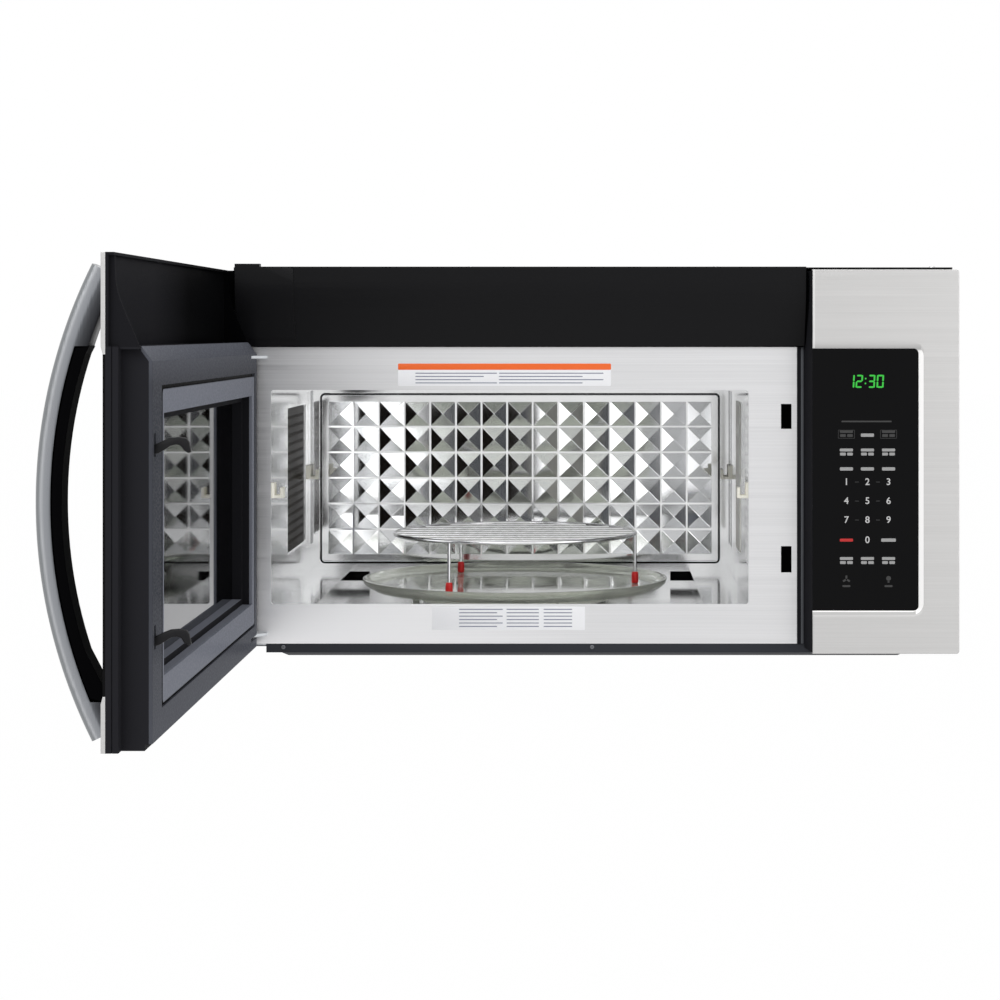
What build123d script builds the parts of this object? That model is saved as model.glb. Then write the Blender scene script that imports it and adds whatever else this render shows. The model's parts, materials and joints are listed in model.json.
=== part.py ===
"""Over the range microwave oven with its door open, as separate pieces.

Millimetres. +X is to the right seen from the front, the front faces -Y, +Z is up.
The origin is the centre of the rear face, which stands against the wall.
Door pieces are drawn closed and turned about the hinge line as they are written.
"""

import os
from math import atan2, degrees, radians, sqrt, tan

from build123d import *

os.makedirs("parts", exist_ok=True)

# ---------------------------------------------------------------- driving dimensions
# Overall
overall_width = 759.0
case_inset = 1.0
case_height = 399.0
case_depth = 372.0
sheet = 1.0
front_reach = 40.5
fit = 0.3
running = 0.06

# Steel front plate and the oven opening in it
plate_top = 115.6
plate_bottom = -196.7
plate_flange = 16.0
cavity_x = -87.7
opening_width = 502.7
opening_top = 70.3
opening_bottom = -155.0
opening_corner = 3.0
cavity_width = 505.0
cavity_depth = 356.0
ceiling_top = 76.0
ledge_drop = 1.0
ledge_width = 48.0
well_depth = 17.8
latch_slot_x = (198.0, 209.0)
latch_slot_heights = ((29.4, 55.6), (-121.8, -94.1))

# Rear wall of the oven: pressed pyramids inside a groove
pyramid_pitch = 30.8
pyramid_ridge = 2.0
pyramid_height = 6.8
pyramid_columns = 15
pyramid_rows = 6
pyramid_mid_z = -44.1
groove_margin = 9.3
groove_width = 2.5
groove_deep = 0.5

# Door and its hinge line
hinge_x = -374.0
hinge_reach = 24.0
door_rest_angle = 90.0
door_gap = 1.5
door_right = 225.8
shell_right = 222.0
hinge_post_wide = 4.7
door_top = 195.5
door_bottom = -202.5
door_inner_right = 214.0
door_inner_bottom = -197.0
door_shelf_top = 120.7
door_inner_top = 108.5
shelf_reach = 30.0
door_wall = 2.5
bottom_rim_inset = 6.2
skin_sheet = 1.2
outer_rim_depth = 14.0
glass_recess = 1.6
glass_thick = 2.0
glass_left = -337.5
glass_top = 114.3
glass_bottom = -157.5
glass_bevel = 6.0
glass_corner = 5.0
window_x = (-345.0, 163.0)
window_z = (-149.5, 65.5)
window_step = 6.0
window_step_deep = 10.0
window_deep = 19.8
inner_glass_thick = 2.0
inner_frame_thick = 3.0
choke_groove_x = (-365.0, 172.0)
choke_groove_z = (-174.5, 88.5)
choke_groove_width = 3.0

# Curved line that the door's upper shell and the vent panel share
gusset_depth = 10.4
gusset_bend_drop = 16.3
gusset_radius = 80.0
gusset_lean = 23.2
vent_gap = 1.5
vent_wall = 2.5

# Handle
handle_x = 189.0
handle_width = 24.0
handle_length = 385.4
handle_mid_z = -5.3
handle_reach = 58.5
handle_clear = 36.5
handle_outer_radius = 430.0
handle_inner_radius = 383.0
handle_grip_half = 120.0
handle_foot_half = 153.0
handle_strip_top = 120.6
handle_strip_bottom = -165.6
handle_metal = 12.9

# Hinge brackets and pins
bracket_heights = (105.0, -186.5)
bracket_thick = 3.0
bracket_eye = 8.0
bracket_arm_x = (-366.0, -343.0)
bracket_foot = 12.0
pin_radius = 4.0
pin_length = 20.0

# Latch
hook_x = (200.5, 205.5)
hook_reach = 30.0
hook_height = 9.0
hook_tip = 13.0
hook_tops = (45.5, -108.5)
latch_lift = 4.0

# Control panel
control_left = 227.6
control_top = 196.2
control_bottom = -202.0
control_glass_right = 337.4
housing_foot_x = 222.6
housing_flange_x = 214.8
housing_wall = 2.5

# Turntable
table_y = -194.0
tray_radius = 171.0
tray_rim = 7.6
tray_thick = 5.0
wheel_radius = 7.85
wheel_width = 7.0
ring_radius = 105.0
ring_width = 12.0
wheel_axle = 2.0
coupler_radius = 18.0
motor_radius = 25.0
motor_height = 16.0
shaft_radius = 3.5

# Rack
rack_radius = 135.0
rack_height = 63.0
rack_wire = 2.25
rack_foot_radius = 4.0
rack_foot_height = 16.0

# Top compartment: exhaust blower, outlet and its flap
duct_width = 254.0
duct_depth = 82.5
duct_rear = 27.5
duct_wall = 4.0
duct_height = 12.0
flap_thick = 1.2
flap_pin = 2.0
blower_z = 128.0
blower_radius = 48.0
blower_width = 66.0
blower_gap = 58.0
bolt_spacing = 584.0
bolt_from_wall = 340.0
bolt_radius = 3.3
gland_radius = 4.5
gland_wall = 4.0

# Bottom pan, grease filters and cooktop lamp
pan_top_half = 344.0
pan_bottom_half = 323.0
pan_deep = 12.0
pan_lip = 6.5
pan_setback = 20.0
filter_size = (250.0, 120.0)
filter_x = 190.0
filter_y = -190.0
filter_thick = 5.0
lamp_size = (90.0, 50.0)
lamp_y = -300.0

# ---------------------------------------------------------------- derived places
half_width = overall_width / 2
case_x = half_width - case_inset
case_top = case_height / 2
case_bottom = -case_top
gusset_bend_z = case_top - gusset_bend_drop
plate_y = -case_depth
cavity_front = plate_y + sheet
cavity_back = plate_y + cavity_depth
cavity_left = cavity_x - cavity_width / 2
cavity_right = cavity_x + cavity_width / 2
opening_mid = (opening_top + opening_bottom) / 2
ceiling = ceiling_top - sheet
ledge = opening_bottom - ledge_drop
well = opening_bottom - well_depth
well_left = cavity_left + ledge_width
well_right = cavity_right - ledge_width
face_y = plate_y - front_reach
glass_y = face_y + glass_recess
hinge_y = plate_y - hinge_reach
hinge_line = Axis((hinge_x, hinge_y, 0), (0, 0, 1))
door_left = -half_width
door_back = plate_y - door_gap
bottom_rim_back = door_back - bottom_rim_inset
outer_rim_back = face_y + outer_rim_depth
rim_taper = degrees(atan2(glass_bevel, glass_recess))
web_front = glass_y + glass_thick
web_back = web_front + door_wall
inner_frame_front = door_back - inner_frame_thick
window_glass_y = door_back - window_deep
step_y = door_back - window_step_deep
bay_left = cavity_right + sheet


# ---------------------------------------------------------------- small helpers
def block(x, y, z, mode=Mode.ADD):
    """A box in the part being built, from its two ends along each axis."""
    with Locations((min(x), min(y), min(z))):
        Box(
            abs(x[1] - x[0]),
            abs(y[1] - y[0]),
            abs(z[1] - z[0]),
            align=(Align.MIN, Align.MIN, Align.MIN),
            mode=mode,
        )


def rod(start, end, radius, mode=Mode.ADD):
    """A round bar in the part being built, from one point to another."""
    way = Vector(*end) - Vector(*start)
    with Locations(Plane(origin=start, z_dir=way).location):
        Cylinder(radius, way.length, align=(Align.CENTER, Align.CENTER, Align.MIN), mode=mode)


def gusset_curve(gap, top, foot):
    """The door shell's rear line, moved back by gap; returns its top and foot points."""
    start_y = face_y + gusset_depth + gap
    upper = Line((start_y, top), (start_y, gusset_bend_z))
    bend = CenterArc((start_y + gusset_radius, gusset_bend_z), gusset_radius, 180, gusset_lean)
    foot_y = (bend @ 1).X + ((bend @ 1).Y - foot) * tan(radians(gusset_lean))
    Line(bend @ 1, (foot_y, foot))
    return upper @ 0, Vector(foot_y, foot)


def gusset_face(gap, top, foot, front_y=None, wall=None):
    """A face between the gusset line and a line in front of it, or a parallel line behind it."""
    with BuildLine() as outline:
        first, last = gusset_curve(gap, top, foot)
        if wall:
            first_back, last_back = gusset_curve(gap + wall, top, foot)
            Line(first, first_back)
            Line(last, last_back)
        else:
            Polyline(first, (front_y, top), (front_y, foot), last)
    make_face(outline.edges())


def slot_rows(x, y, z, count, axis_length, pitch):
    """Louvre slots cut down through a shelf, in a row along X."""
    with BuildSketch(Plane.XY.offset(z)) as slots:
        with Locations((x, y)):
            with GridLocations(pitch, 0, count, 1):
                RectangleRounded(pitch * 0.7, axis_length, 2)
    extrude(slots.sketch, amount=-3 * vent_wall, mode=Mode.SUBTRACT)


def glass_window(closed_x, open_x):
    """Cuts the sloped rim and the pocket of the black glass band, out past its open end."""
    side = 1 if closed_x > open_x else -1
    mid_z = (glass_top + glass_bottom) / 2
    tall = glass_top - glass_bottom
    past_x = open_x - side * 20
    for grow, deep, taper in ((glass_bevel, glass_recess, rim_taper), (0, 12, 0)):
        edge_x = closed_x + side * grow
        with BuildSketch(Plane.XZ.offset(-face_y)) as cut:
            with Locations(((edge_x + past_x) / 2, mid_z)):
                RectangleRounded(abs(edge_x - past_x), tall + 2 * grow, glass_corner + grow)
        extrude(cut.sketch, amount=-deep, taper=taper, mode=Mode.SUBTRACT)


# ---------------------------------------------------------------- case
cord_x = 300.0
cord_y = -60.0
duct_x = (-duct_width / 2, duct_width / 2)
duct_y = (-duct_rear - duct_depth, -duct_rear)

with BuildPart() as outer_case:
    block((-case_x, case_x), (cavity_front, -sheet), (case_bottom, case_top))
    inside = (-case_x + sheet, case_x - sheet)
    block(inside, (cavity_front, -sheet), (case_bottom, case_top - sheet), Mode.SUBTRACT)
    block(duct_x, duct_y, (case_top - 2 * sheet, case_top + sheet), Mode.SUBTRACT)
    for x in (-bolt_spacing / 2, bolt_spacing / 2):
        hole_foot = (x, -bolt_from_wall, case_top - 2 * sheet)
        rod(hole_foot, (x, -bolt_from_wall, case_top + sheet), bolt_radius, Mode.SUBTRACT)
    hole_foot = (cord_x, cord_y, case_top - 2 * sheet)
    rod(hole_foot, (cord_x, cord_y, case_top + sheet), gland_radius + gland_wall, Mode.SUBTRACT)
outer_case.part.label = "outer_case"
export_step(outer_case.part, "parts/outer_case.step")

hook_slot_x = 250.0
hook_slot = (60.0, 10.0)
hook_slot_z = -180.0

with BuildPart() as rear_panel:
    block((-case_x, case_x), (-sheet, 0), (case_bottom, case_top))
    for x in (-hook_slot_x, hook_slot_x):
        slot_x = (x - hook_slot[0] / 2, x + hook_slot[0] / 2)
        block(slot_x, (-2 * sheet, sheet), (hook_slot_z - hook_slot[1], hook_slot_z), Mode.SUBTRACT)
rear_panel.part.label = "rear_panel"
export_step(rear_panel.part, "parts/rear_panel.step")

nut_size = 11.1
nut_height = 8.0

with BuildPart() as mounting_nuts:
    with BuildSketch(Plane.XY.offset(case_top - sheet)):
        with Locations((-bolt_spacing / 2, -bolt_from_wall), (bolt_spacing / 2, -bolt_from_wall)):
            RegularPolygon(nut_size / 2, 6, major_radius=False)
            Circle(bolt_radius, mode=Mode.SUBTRACT)
    extrude(amount=-nut_height)
mounting_nuts.part.label = "mounting_nuts"
export_step(mounting_nuts.part, "parts/mounting_nuts.step")

gland_flange = 3.0
gland_length = 10.0

with BuildPart() as cord_gland:
    gland_outer = gland_radius + gland_wall
    collar_z = case_top - sheet
    rod((cord_x, cord_y, case_top - gland_length), (cord_x, cord_y, case_top), gland_outer)
    rod((cord_x, cord_y, collar_z - 3), (cord_x, cord_y, collar_z), gland_outer + gland_flange)
    bore_foot = (cord_x, cord_y, case_top - gland_length - 1)
    rod(bore_foot, (cord_x, cord_y, case_top + 1), gland_radius, Mode.SUBTRACT)
cord_gland.part.label = "cord_gland"
export_step(cord_gland.part, "parts/cord_gland.step")

# ---------------------------------------------------------------- steel front plate
bay_window_x = (232.0, 368.0)
bay_window_z = (-182.0, 104.0)

with BuildPart() as front_plate:
    block((-case_x, case_x), (plate_y, cavity_front), (plate_bottom, plate_top))
    flange_x = (-case_x + sheet, case_x - sheet)
    block(flange_x, (cavity_front, cavity_front + plate_flange), (plate_top - sheet, plate_top))
    with BuildSketch(Plane.XZ.offset(case_depth)):
        with Locations((cavity_x, opening_mid)):
            RectangleRounded(opening_width, opening_top - opening_bottom, opening_corner)
    extrude(amount=-sheet, mode=Mode.SUBTRACT)
    block(bay_window_x, (plate_y - 1, cavity_front + 1), bay_window_z, Mode.SUBTRACT)
    for heights in latch_slot_heights:
        block(latch_slot_x, (plate_y - 1, cavity_front + 1), heights, Mode.SUBTRACT)
    for height in bracket_heights:
        half = bracket_thick / 2
        block(bracket_arm_x, (plate_y - 1, cavity_front + 1), (height - half, height + half), Mode.SUBTRACT)
front_plate.part.label = "front_plate"
export_step(front_plate.part, "parts/front_plate.step")

# ---------------------------------------------------------------- oven cavity walls
recess_deep = 2.0
left_vent_y = (plate_y + 148, plate_y + 316)
left_vent_z = (-117.5, 46.5)
lamp_vent_y = (plate_y + 11, plate_y + 75)
wave_y = (plate_y + 155, plate_y + 230)
wave_z = (-115.5, 52.5)
corner_y = (plate_y + 321, plate_y + 351)
corner_z = (-125.0, 60.0)
hole_pitch = 10.0
hole_radius = 2.5


def wall_recess(face_x, side, y, z):
    """Presses a shallow recess outward in a side wall whose inner face is at face_x."""
    outer = face_x + side * (recess_deep + sheet)
    block((face_x + side * sheet, outer), (y[0] - sheet, y[1] + sheet), (z[0] - sheet, z[1] + sheet))
    block((face_x - side, face_x + side * recess_deep), y, z, Mode.SUBTRACT)


def wall_holes(face_x, y, z):
    """Punches a field of round holes through a side wall."""
    columns = int((y[1] - y[0] - hole_pitch) / hole_pitch)
    rows = int((z[1] - z[0] - hole_pitch) / hole_pitch)
    with BuildSketch(Plane.YZ.offset(face_x)) as holes:
        with Locations(((y[0] + y[1]) / 2, (z[0] + z[1]) / 2)):
            with GridLocations(hole_pitch, hole_pitch, columns, rows):
                Circle(hole_radius)
    extrude(holes.sketch, amount=2 * recess_deep + 2 * sheet, both=True, mode=Mode.SUBTRACT)


with BuildPart() as cavity_left_wall:
    block((cavity_left - sheet, cavity_left), (cavity_front, cavity_back), (ledge - sheet, ceiling))
    wall_recess(cavity_left, -1, left_vent_y, left_vent_z)
    wall_recess(cavity_left, -1, corner_y, corner_z)
    wall_holes(cavity_left, left_vent_y, left_vent_z)
cavity_left_wall.part.label = "cavity_left_wall"
export_step(cavity_left_wall.part, "parts/cavity_left_wall.step")

with BuildPart() as cavity_right_wall:
    block((cavity_right, cavity_right + sheet), (cavity_front, cavity_back), (ledge - sheet, ceiling))
    wall_recess(cavity_right, 1, lamp_vent_y, wave_z)
    wall_recess(cavity_right, 1, corner_y, corner_z)
    wall_holes(cavity_right, lamp_vent_y, wave_z)
    port_y = (wave_y[0] + 6, wave_y[1] - 6)
    port_z = (wave_z[0] + 40, wave_z[1] - 40)
    block((cavity_right - 1, cavity_right + 2), port_y, port_z, Mode.SUBTRACT)
cavity_right_wall.part.label = "cavity_right_wall"
export_step(cavity_right_wall.part, "parts/cavity_right_wall.step")

mica_thick = 0.8

with BuildPart() as waveguide_cover:
    block((cavity_right - mica_thick, cavity_right), wave_y, wave_z)
    fillet(waveguide_cover.edges().filter_by(Axis.X), 4)
waveguide_cover.part.label = "waveguide_cover"
export_step(waveguide_cover.part, "parts/waveguide_cover.step")

convection_y = -285.0
convection_intake = 45.0
convection_radius = 80.0

with BuildPart() as cavity_ceiling:
    block((cavity_left - sheet, cavity_right + sheet), (cavity_front, cavity_back), (ceiling, ceiling_top))
    with BuildSketch(Plane.XY.offset(ceiling_top)):
        with Locations((cavity_x, convection_y)):
            for ring in range(1, 5):
                with PolarLocations(ring * hole_pitch, 6 * ring):
                    Circle(hole_radius)
            with PolarLocations(convection_radius - 12, 24):
                Circle(hole_radius)
    extrude(amount=-sheet, mode=Mode.SUBTRACT)
cavity_ceiling.part.label = "cavity_ceiling"
export_step(cavity_ceiling.part, "parts/cavity_ceiling.step")

shaft_hole = 8.0

with BuildPart() as cavity_floor:
    for x in ((cavity_left, well_left), (well_right, cavity_right)):
        block(x, (cavity_front, cavity_back), (ledge - sheet, ledge))
    for x in ((well_left - sheet, well_left), (well_right, well_right + sheet)):
        block(x, (cavity_front, cavity_back), (well - sheet, ledge))
    block((well_left, well_right), (cavity_front, cavity_back), (well - sheet, well))
    block((well_left, well_right), (cavity_front, cavity_front + sheet), (well, ledge))
    rod((cavity_x, table_y, well - 2), (cavity_x, table_y, well + 1), shaft_hole, Mode.SUBTRACT)
cavity_floor.part.label = "cavity_floor"
export_step(cavity_floor.part, "parts/cavity_floor.step")

pyramid_area = (pyramid_columns * pyramid_pitch, pyramid_rows * pyramid_pitch)
pyramid_base = pyramid_pitch - pyramid_ridge
pyramid_taper = 64.0
rear_slot = (35.5, 11.0)
rear_slot_x = (-198.4, 198.4)

with BuildPart() as cavity_back_wall:
    wall_x = (cavity_left - sheet, cavity_right + sheet)
    block(wall_x, (cavity_back, cavity_back + sheet), (well - sheet, ceiling_top))
    with BuildSketch(Plane.XZ.offset(-cavity_back)):
        with Locations((cavity_x, pyramid_mid_z)):
            with GridLocations(pyramid_pitch, pyramid_pitch, pyramid_columns, pyramid_rows):
                Rectangle(pyramid_base, pyramid_base)
    extrude(amount=pyramid_height, taper=pyramid_taper)
    with BuildSketch(Plane.XZ.offset(-cavity_back)):
        with Locations((cavity_x, pyramid_mid_z)):
            RectangleRounded(pyramid_area[0] + 2 * groove_margin, pyramid_area[1] + 2 * groove_margin, 5)
            inner_margin = groove_margin - groove_width
            inner = (pyramid_area[0] + 2 * inner_margin, pyramid_area[1] + 2 * inner_margin)
            RectangleRounded(inner[0], inner[1], 3, mode=Mode.SUBTRACT)
    extrude(amount=-groove_deep, mode=Mode.SUBTRACT)
    for x in rear_slot_x:
        slot_x = (cavity_x + x - rear_slot[0] / 2, cavity_x + x + rear_slot[0] / 2)
        slot_z = (well + 5.3, well + 5.3 + rear_slot[1])
        block(slot_x, (cavity_back - 1, cavity_back + 2), slot_z, Mode.SUBTRACT)
cavity_back_wall.part.label = "cavity_back_wall"
export_step(cavity_back_wall.part, "parts/cavity_back_wall.step")

support_out = 12.0
support_z = (-44.5, -28.5)
support_front = (plate_y + 13, plate_y + 30)
support_rear = (plate_y + 337, plate_y + 348)
support_bar = 3.0

with BuildPart() as rack_supports:
    for wall_x, side, front_root in ((cavity_left, 1, 0), (cavity_right, -1, recess_deep)):
        for y, root_deep in ((support_front, front_root), (support_rear, recess_deep)):
            root = wall_x - side * root_deep
            block((root, wall_x + side * support_bar), y, support_z)
            block((root, wall_x + side * support_out), y, (support_z[0], support_z[0] + support_bar))
            tip_x = (wall_x + side * (support_out - support_bar), wall_x + side * support_out)
            block(tip_x, y, (support_z[0], support_z[1] - 5))
rack_supports.part.label = "rack_supports"
export_step(rack_supports.part, "parts/rack_supports.step")

# ---------------------------------------------------------------- vent panel and hinge cover
vent_x = (-373.0, 222.0)
vent_foot = plate_top + sheet
cover_x = (-373.0, -312.0)
cover_tab_x = (-373.0, -347.0)
cover_foot = 124.5
cover_tab_height = 3.0

with BuildPart() as vent_panel:
    with BuildSketch(Plane.YZ.offset(vent_x[0])):
        gusset_face(vent_gap, case_top, vent_foot, wall=vent_wall)
    extrude(amount=vent_x[1] - vent_x[0])
    for x in (vent_x[0], vent_x[1] - vent_wall):
        with BuildSketch(Plane.YZ.offset(x)):
            gusset_face(vent_gap, case_top, vent_foot, front_y=plate_y)
        extrude(amount=vent_wall)
    top_front = face_y + gusset_depth + vent_gap
    block(vent_x, (top_front, cavity_front), (case_top - vent_wall, case_top))
    block(vent_x, (plate_y - 5, plate_y), (vent_foot, vent_foot + vent_wall))
    slot_rows(cavity_x, (top_front + cavity_front) / 2, case_top, 26, 18, 16)
vent_panel.part.label = "vent_panel"
export_step(vent_panel.part, "parts/vent_panel.step")

with BuildPart() as hinge_cover:
    with BuildSketch(Plane.YZ.offset(cover_x[0])):
        gusset_face(fit, case_top, cover_foot, wall=vent_gap - fit)
    extrude(amount=cover_x[1] - cover_x[0])
    tab_y = (face_y + gusset_depth + fit, face_y + gusset_depth + 12)
    block(cover_tab_x, tab_y, (case_top, case_top + cover_tab_height))
hinge_cover.part.label = "hinge_cover"
export_step(hinge_cover.part, "parts/hinge_cover.step")

charcoal_x = (-180.0, 180.0)
charcoal_thick = 14.0

with BuildPart() as charcoal_filter:
    charcoal_y = (cavity_front, cavity_front + charcoal_thick)
    block(charcoal_x, charcoal_y, (plate_top, case_top - sheet - fit))
    fillet(charcoal_filter.edges().filter_by(Axis.Y), 4)
charcoal_filter.part.label = "charcoal_filter"
export_step(charcoal_filter.part, "parts/charcoal_filter.step")

# ---------------------------------------------------------------- hinge brackets with their pins
with BuildPart() as hinge_brackets:
    for height in bracket_heights:
        low = height - bracket_thick / 2
        with BuildSketch(Plane.XY.offset(low)):
            with Locations((hinge_x, hinge_y)):
                Circle(bracket_eye)
            with BuildLine():
                arm_end = cavity_front + 2.5
                Polyline(
                    (hinge_x - bracket_eye, hinge_y),
                    (bracket_arm_x[0], plate_y - 4),
                    (bracket_arm_x[0], arm_end),
                    (bracket_arm_x[1], arm_end),
                    (bracket_arm_x[1], plate_y - 4),
                    (hinge_x + bracket_eye, hinge_y),
                    close=True,
                )
            make_face()
        extrude(amount=bracket_thick)
        foot_z = (height - bracket_foot, height + 9)
        block(bracket_arm_x, (cavity_front, cavity_front + 2.5), foot_z)
        pin_start = (hinge_x, hinge_y, height - pin_length / 2)
        rod(pin_start, (hinge_x, hinge_y, height + pin_length / 2), pin_radius)
hinge_brackets.part.label = "hinge_brackets"
export_step(hinge_brackets.part, "parts/hinge_brackets.step")

# ---------------------------------------------------------------- control panel
fascia_return = 9.0
rim_z = (glass_bottom - glass_bevel, glass_top + glass_bevel)
rim_pad = 3.0
fascia_corner = 3.0

with BuildPart() as control_fascia:
    fascia_x = (control_left, half_width)
    block(fascia_x, (face_y, face_y + fascia_return), (control_bottom, control_top))
    pocket_x = (control_left - 1, half_width - skin_sheet)
    pocket_z = (control_bottom + skin_sheet, control_top - skin_sheet)
    block(pocket_x, (face_y + skin_sheet, face_y + fascia_return + 1), pocket_z, Mode.SUBTRACT)
    pad_x = (control_left, control_glass_right + glass_bevel + rim_pad)
    block(pad_x, (face_y + skin_sheet, web_front), (rim_z[0] - rim_pad, rim_z[1] + rim_pad))
    glass_window(control_glass_right, control_left)
    outer_edges = control_fascia.edges().filter_by(Axis.Y).group_by(Axis.X)[-1]
    fillet(outer_edges, fascia_corner)
control_fascia.part.label = "control_fascia"
export_step(control_fascia.part, "parts/control_fascia.step")

glass_clearance = 0.1

with BuildPart() as control_glass:
    glass_x = (control_left, control_glass_right - glass_clearance)
    block(glass_x, (glass_y, web_front), (glass_bottom + glass_clearance, glass_top - glass_clearance))
    fillet(control_glass.edges().filter_by(Axis.Y).group_by(Axis.X)[-1], glass_corner)
control_glass.part.label = "control_glass"
export_step(control_glass.part, "parts/control_glass.step")

display_x = (258.0, 313.0)
display_z = (66.0, 94.0)
housing_z = (control_bottom + skin_sheet, control_top - skin_sheet)
housing_right = half_width - skin_sheet

with BuildPart() as control_housing:
    with BuildSketch(Plane.XY.offset(housing_z[0])):
        with BuildLine():
            Polyline(
                (housing_foot_x, plate_y),
                (control_left, web_front),
                (housing_right, web_front),
                (housing_right, plate_y),
                close=True,
            )
        make_face()
    extrude(amount=housing_z[1] - housing_z[0])
    with BuildSketch(Plane.XY.offset(housing_z[0] + housing_wall)):
        with BuildLine():
            Polyline(
                (housing_foot_x + housing_wall, plate_y),
                (control_left + housing_wall, web_front + housing_wall),
                (housing_right - housing_wall, web_front + housing_wall),
                (housing_right - housing_wall, plate_y),
                close=True,
            )
        make_face()
    extrude(amount=housing_z[1] - housing_z[0] - 2 * housing_wall, mode=Mode.SUBTRACT)
    flange_z = (plate_bottom, plate_top)
    block((housing_flange_x, housing_foot_x + housing_wall), (plate_y - door_gap, plate_y), flange_z)
    block(display_x, (web_front - 1, web_front + 5), display_z, Mode.SUBTRACT)
    for x in (245.0, 360.0):
        for z in (-125.0, 40.0):
            rod((x, web_front + housing_wall, z), (x, web_front + 10, z), 3.5)
control_housing.part.label = "control_housing"
export_step(control_housing.part, "parts/control_housing.step")

board_y = web_front + 10

with BuildPart() as display_module:
    inner_x = (display_x[0] + fit, display_x[1] - fit)
    block(inner_x, (web_front, web_front + 5), (display_z[0] + fit, display_z[1] - fit))
    base_x = (display_x[0] - 4, display_x[1] + 4)
    base_z = (display_z[0] - 4, display_z[1] + 4)
    block(base_x, (web_front + housing_wall, board_y), base_z)
display_module.part.label = "display_module"
export_step(display_module.part, "parts/display_module.step")

with BuildPart() as control_board:
    block((236.0, 368.0), (board_y, board_y + 1.6), (-140.0, 105.0))
    block((300.0, 330.0), (board_y + 1.6, board_y + 20), (-110.0, -70.0))
    for z in (-40.0, -15.0, 10.0):
        block((280.0, 300.0), (board_y + 1.6, board_y + 16), (z, z + 16))
    for x in (250.0, 264.0, 350.0):
        rod((x, board_y + 1.6, -90), (x, board_y + 18, -90), 5)
control_board.part.label = "control_board"
export_step(control_board.part, "parts/control_board.step")

# ---------------------------------------------------------------- door interlock switches
holder_x = (190.0, 222.0)
holder_deep = 34.0
switch_size = (10.0, 20.0, 16.0)

with BuildPart() as interlock_switches:
    block(holder_x, (cavity_front, cavity_front + 3), (-150.0, 85.0))
    for low, high in latch_slot_heights:
        block(holder_x, (cavity_front, cavity_front + holder_deep), (low - 8, high + 8))
        inner_x = (latch_slot_x[0] - 1, latch_slot_x[1] + 2.5)
        inner_y = (cavity_front - 1, cavity_front + holder_deep - 2)
        block(inner_x, inner_y, (low - 3, high + 3), Mode.SUBTRACT)
        switch_y = (cavity_front + 6, cavity_front + 6 + switch_size[1])
        block((holder_x[1], holder_x[1] + switch_size[0]), switch_y, (low, low + switch_size[2]))
interlock_switches.part.label = "interlock_switches"
export_step(interlock_switches.part, "parts/interlock_switches.step")

# ---------------------------------------------------------------- right bay: microwave generator
guide_deep = 22.0
guide_y = (wave_y[0] - 4, wave_y[1] + 4)
guide_z = (wave_z[0] + 34, wave_z[1] - 34)

with BuildPart() as waveguide:
    guide_x = (bay_left, bay_left + guide_deep)
    block(guide_x, guide_y, guide_z)
    inner_y = (guide_y[0] + sheet, guide_y[1] - sheet)
    inner_z = (guide_z[0] + sheet, guide_z[1] - sheet)
    block((guide_x[0] - 1, guide_x[1] - sheet), inner_y, inner_z, Mode.SUBTRACT)
    guide_mid = (guide_x[1], (guide_y[0] + guide_y[1]) / 2, (guide_z[0] + guide_z[1]) / 2)
    rod((guide_x[1] - 3, *guide_mid[1:]), (guide_x[1] + 1, *guide_mid[1:]), 9.5, Mode.SUBTRACT)
waveguide.part.label = "waveguide"
export_step(waveguide.part, "parts/waveguide.step")

magnetron_size = (64.0, 84.0, 78.0)

with BuildPart() as magnetron:
    start = guide_mid[0]
    y = (guide_mid[1] - magnetron_size[1] / 2, guide_mid[1] + magnetron_size[1] / 2)
    z = (guide_mid[2] - magnetron_size[2] / 2, guide_mid[2] + magnetron_size[2] / 2)
    for offset in (0.0, magnetron_size[0] - 2):
        block((start + offset, start + offset + 2), y, z)
    for edge in (z[0], z[1] - 2):
        block((start, start + magnetron_size[0]), y, (edge, edge + 2))
    for fin in range(8):
        fin_x = start + 12 + fin * 5.5
        block((fin_x, fin_x + 0.8), y, z)
    end = start + magnetron_size[0]
    rod((start + 2, *guide_mid[1:]), (end - 2, *guide_mid[1:]), 20)
    rod((start - 16, *guide_mid[1:]), (start + 2, *guide_mid[1:]), 7.5)
    block((end, end + 22), (y[0] + 20, y[1] - 20), (z[0] + 18, z[1] - 18))
magnetron.part.label = "magnetron"
export_step(magnetron.part, "parts/magnetron.step")

transformer_x = (205.0, 305.0)
transformer_y = (-200.0, -110.0)
transformer_height = 84.0
pan_flange_top = case_bottom + sheet

with BuildPart() as high_voltage_supply:
    base = pan_flange_top
    block(transformer_x, transformer_y, (base, base + 3))
    core_x = (transformer_x[0] + 10, transformer_x[1] - 10)
    block(core_x, (transformer_y[0] + 8, transformer_y[1] - 8), (base + 3, base + transformer_height))
    for z in (base + 22, base + 52):
        coil_y = (transformer_y[0] - 6, transformer_y[1] + 6)
        block((core_x[0] + 14, core_x[1] - 14), coil_y, (z, z + 24))
    with BuildSketch(Plane.XY.offset(pan_flange_top)):
        with Locations((340.0, -150.0)):
            SlotOverall(64, 34, rotation=90)
    extrude(amount=92)
    for y in (-160.0, -140.0):
        block((338.0, 342.0), (y - 3, y + 3), (pan_flange_top + 92, pan_flange_top + 104))
high_voltage_supply.part.label = "high_voltage_supply"
export_step(high_voltage_supply.part, "parts/high_voltage_supply.step")

fan_x = 285.0
fan_z = 40.0
fan_y = -sheet
fan_hole = 56.0
fan_frame = 130.0
fan_deep = 36.0

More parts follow.
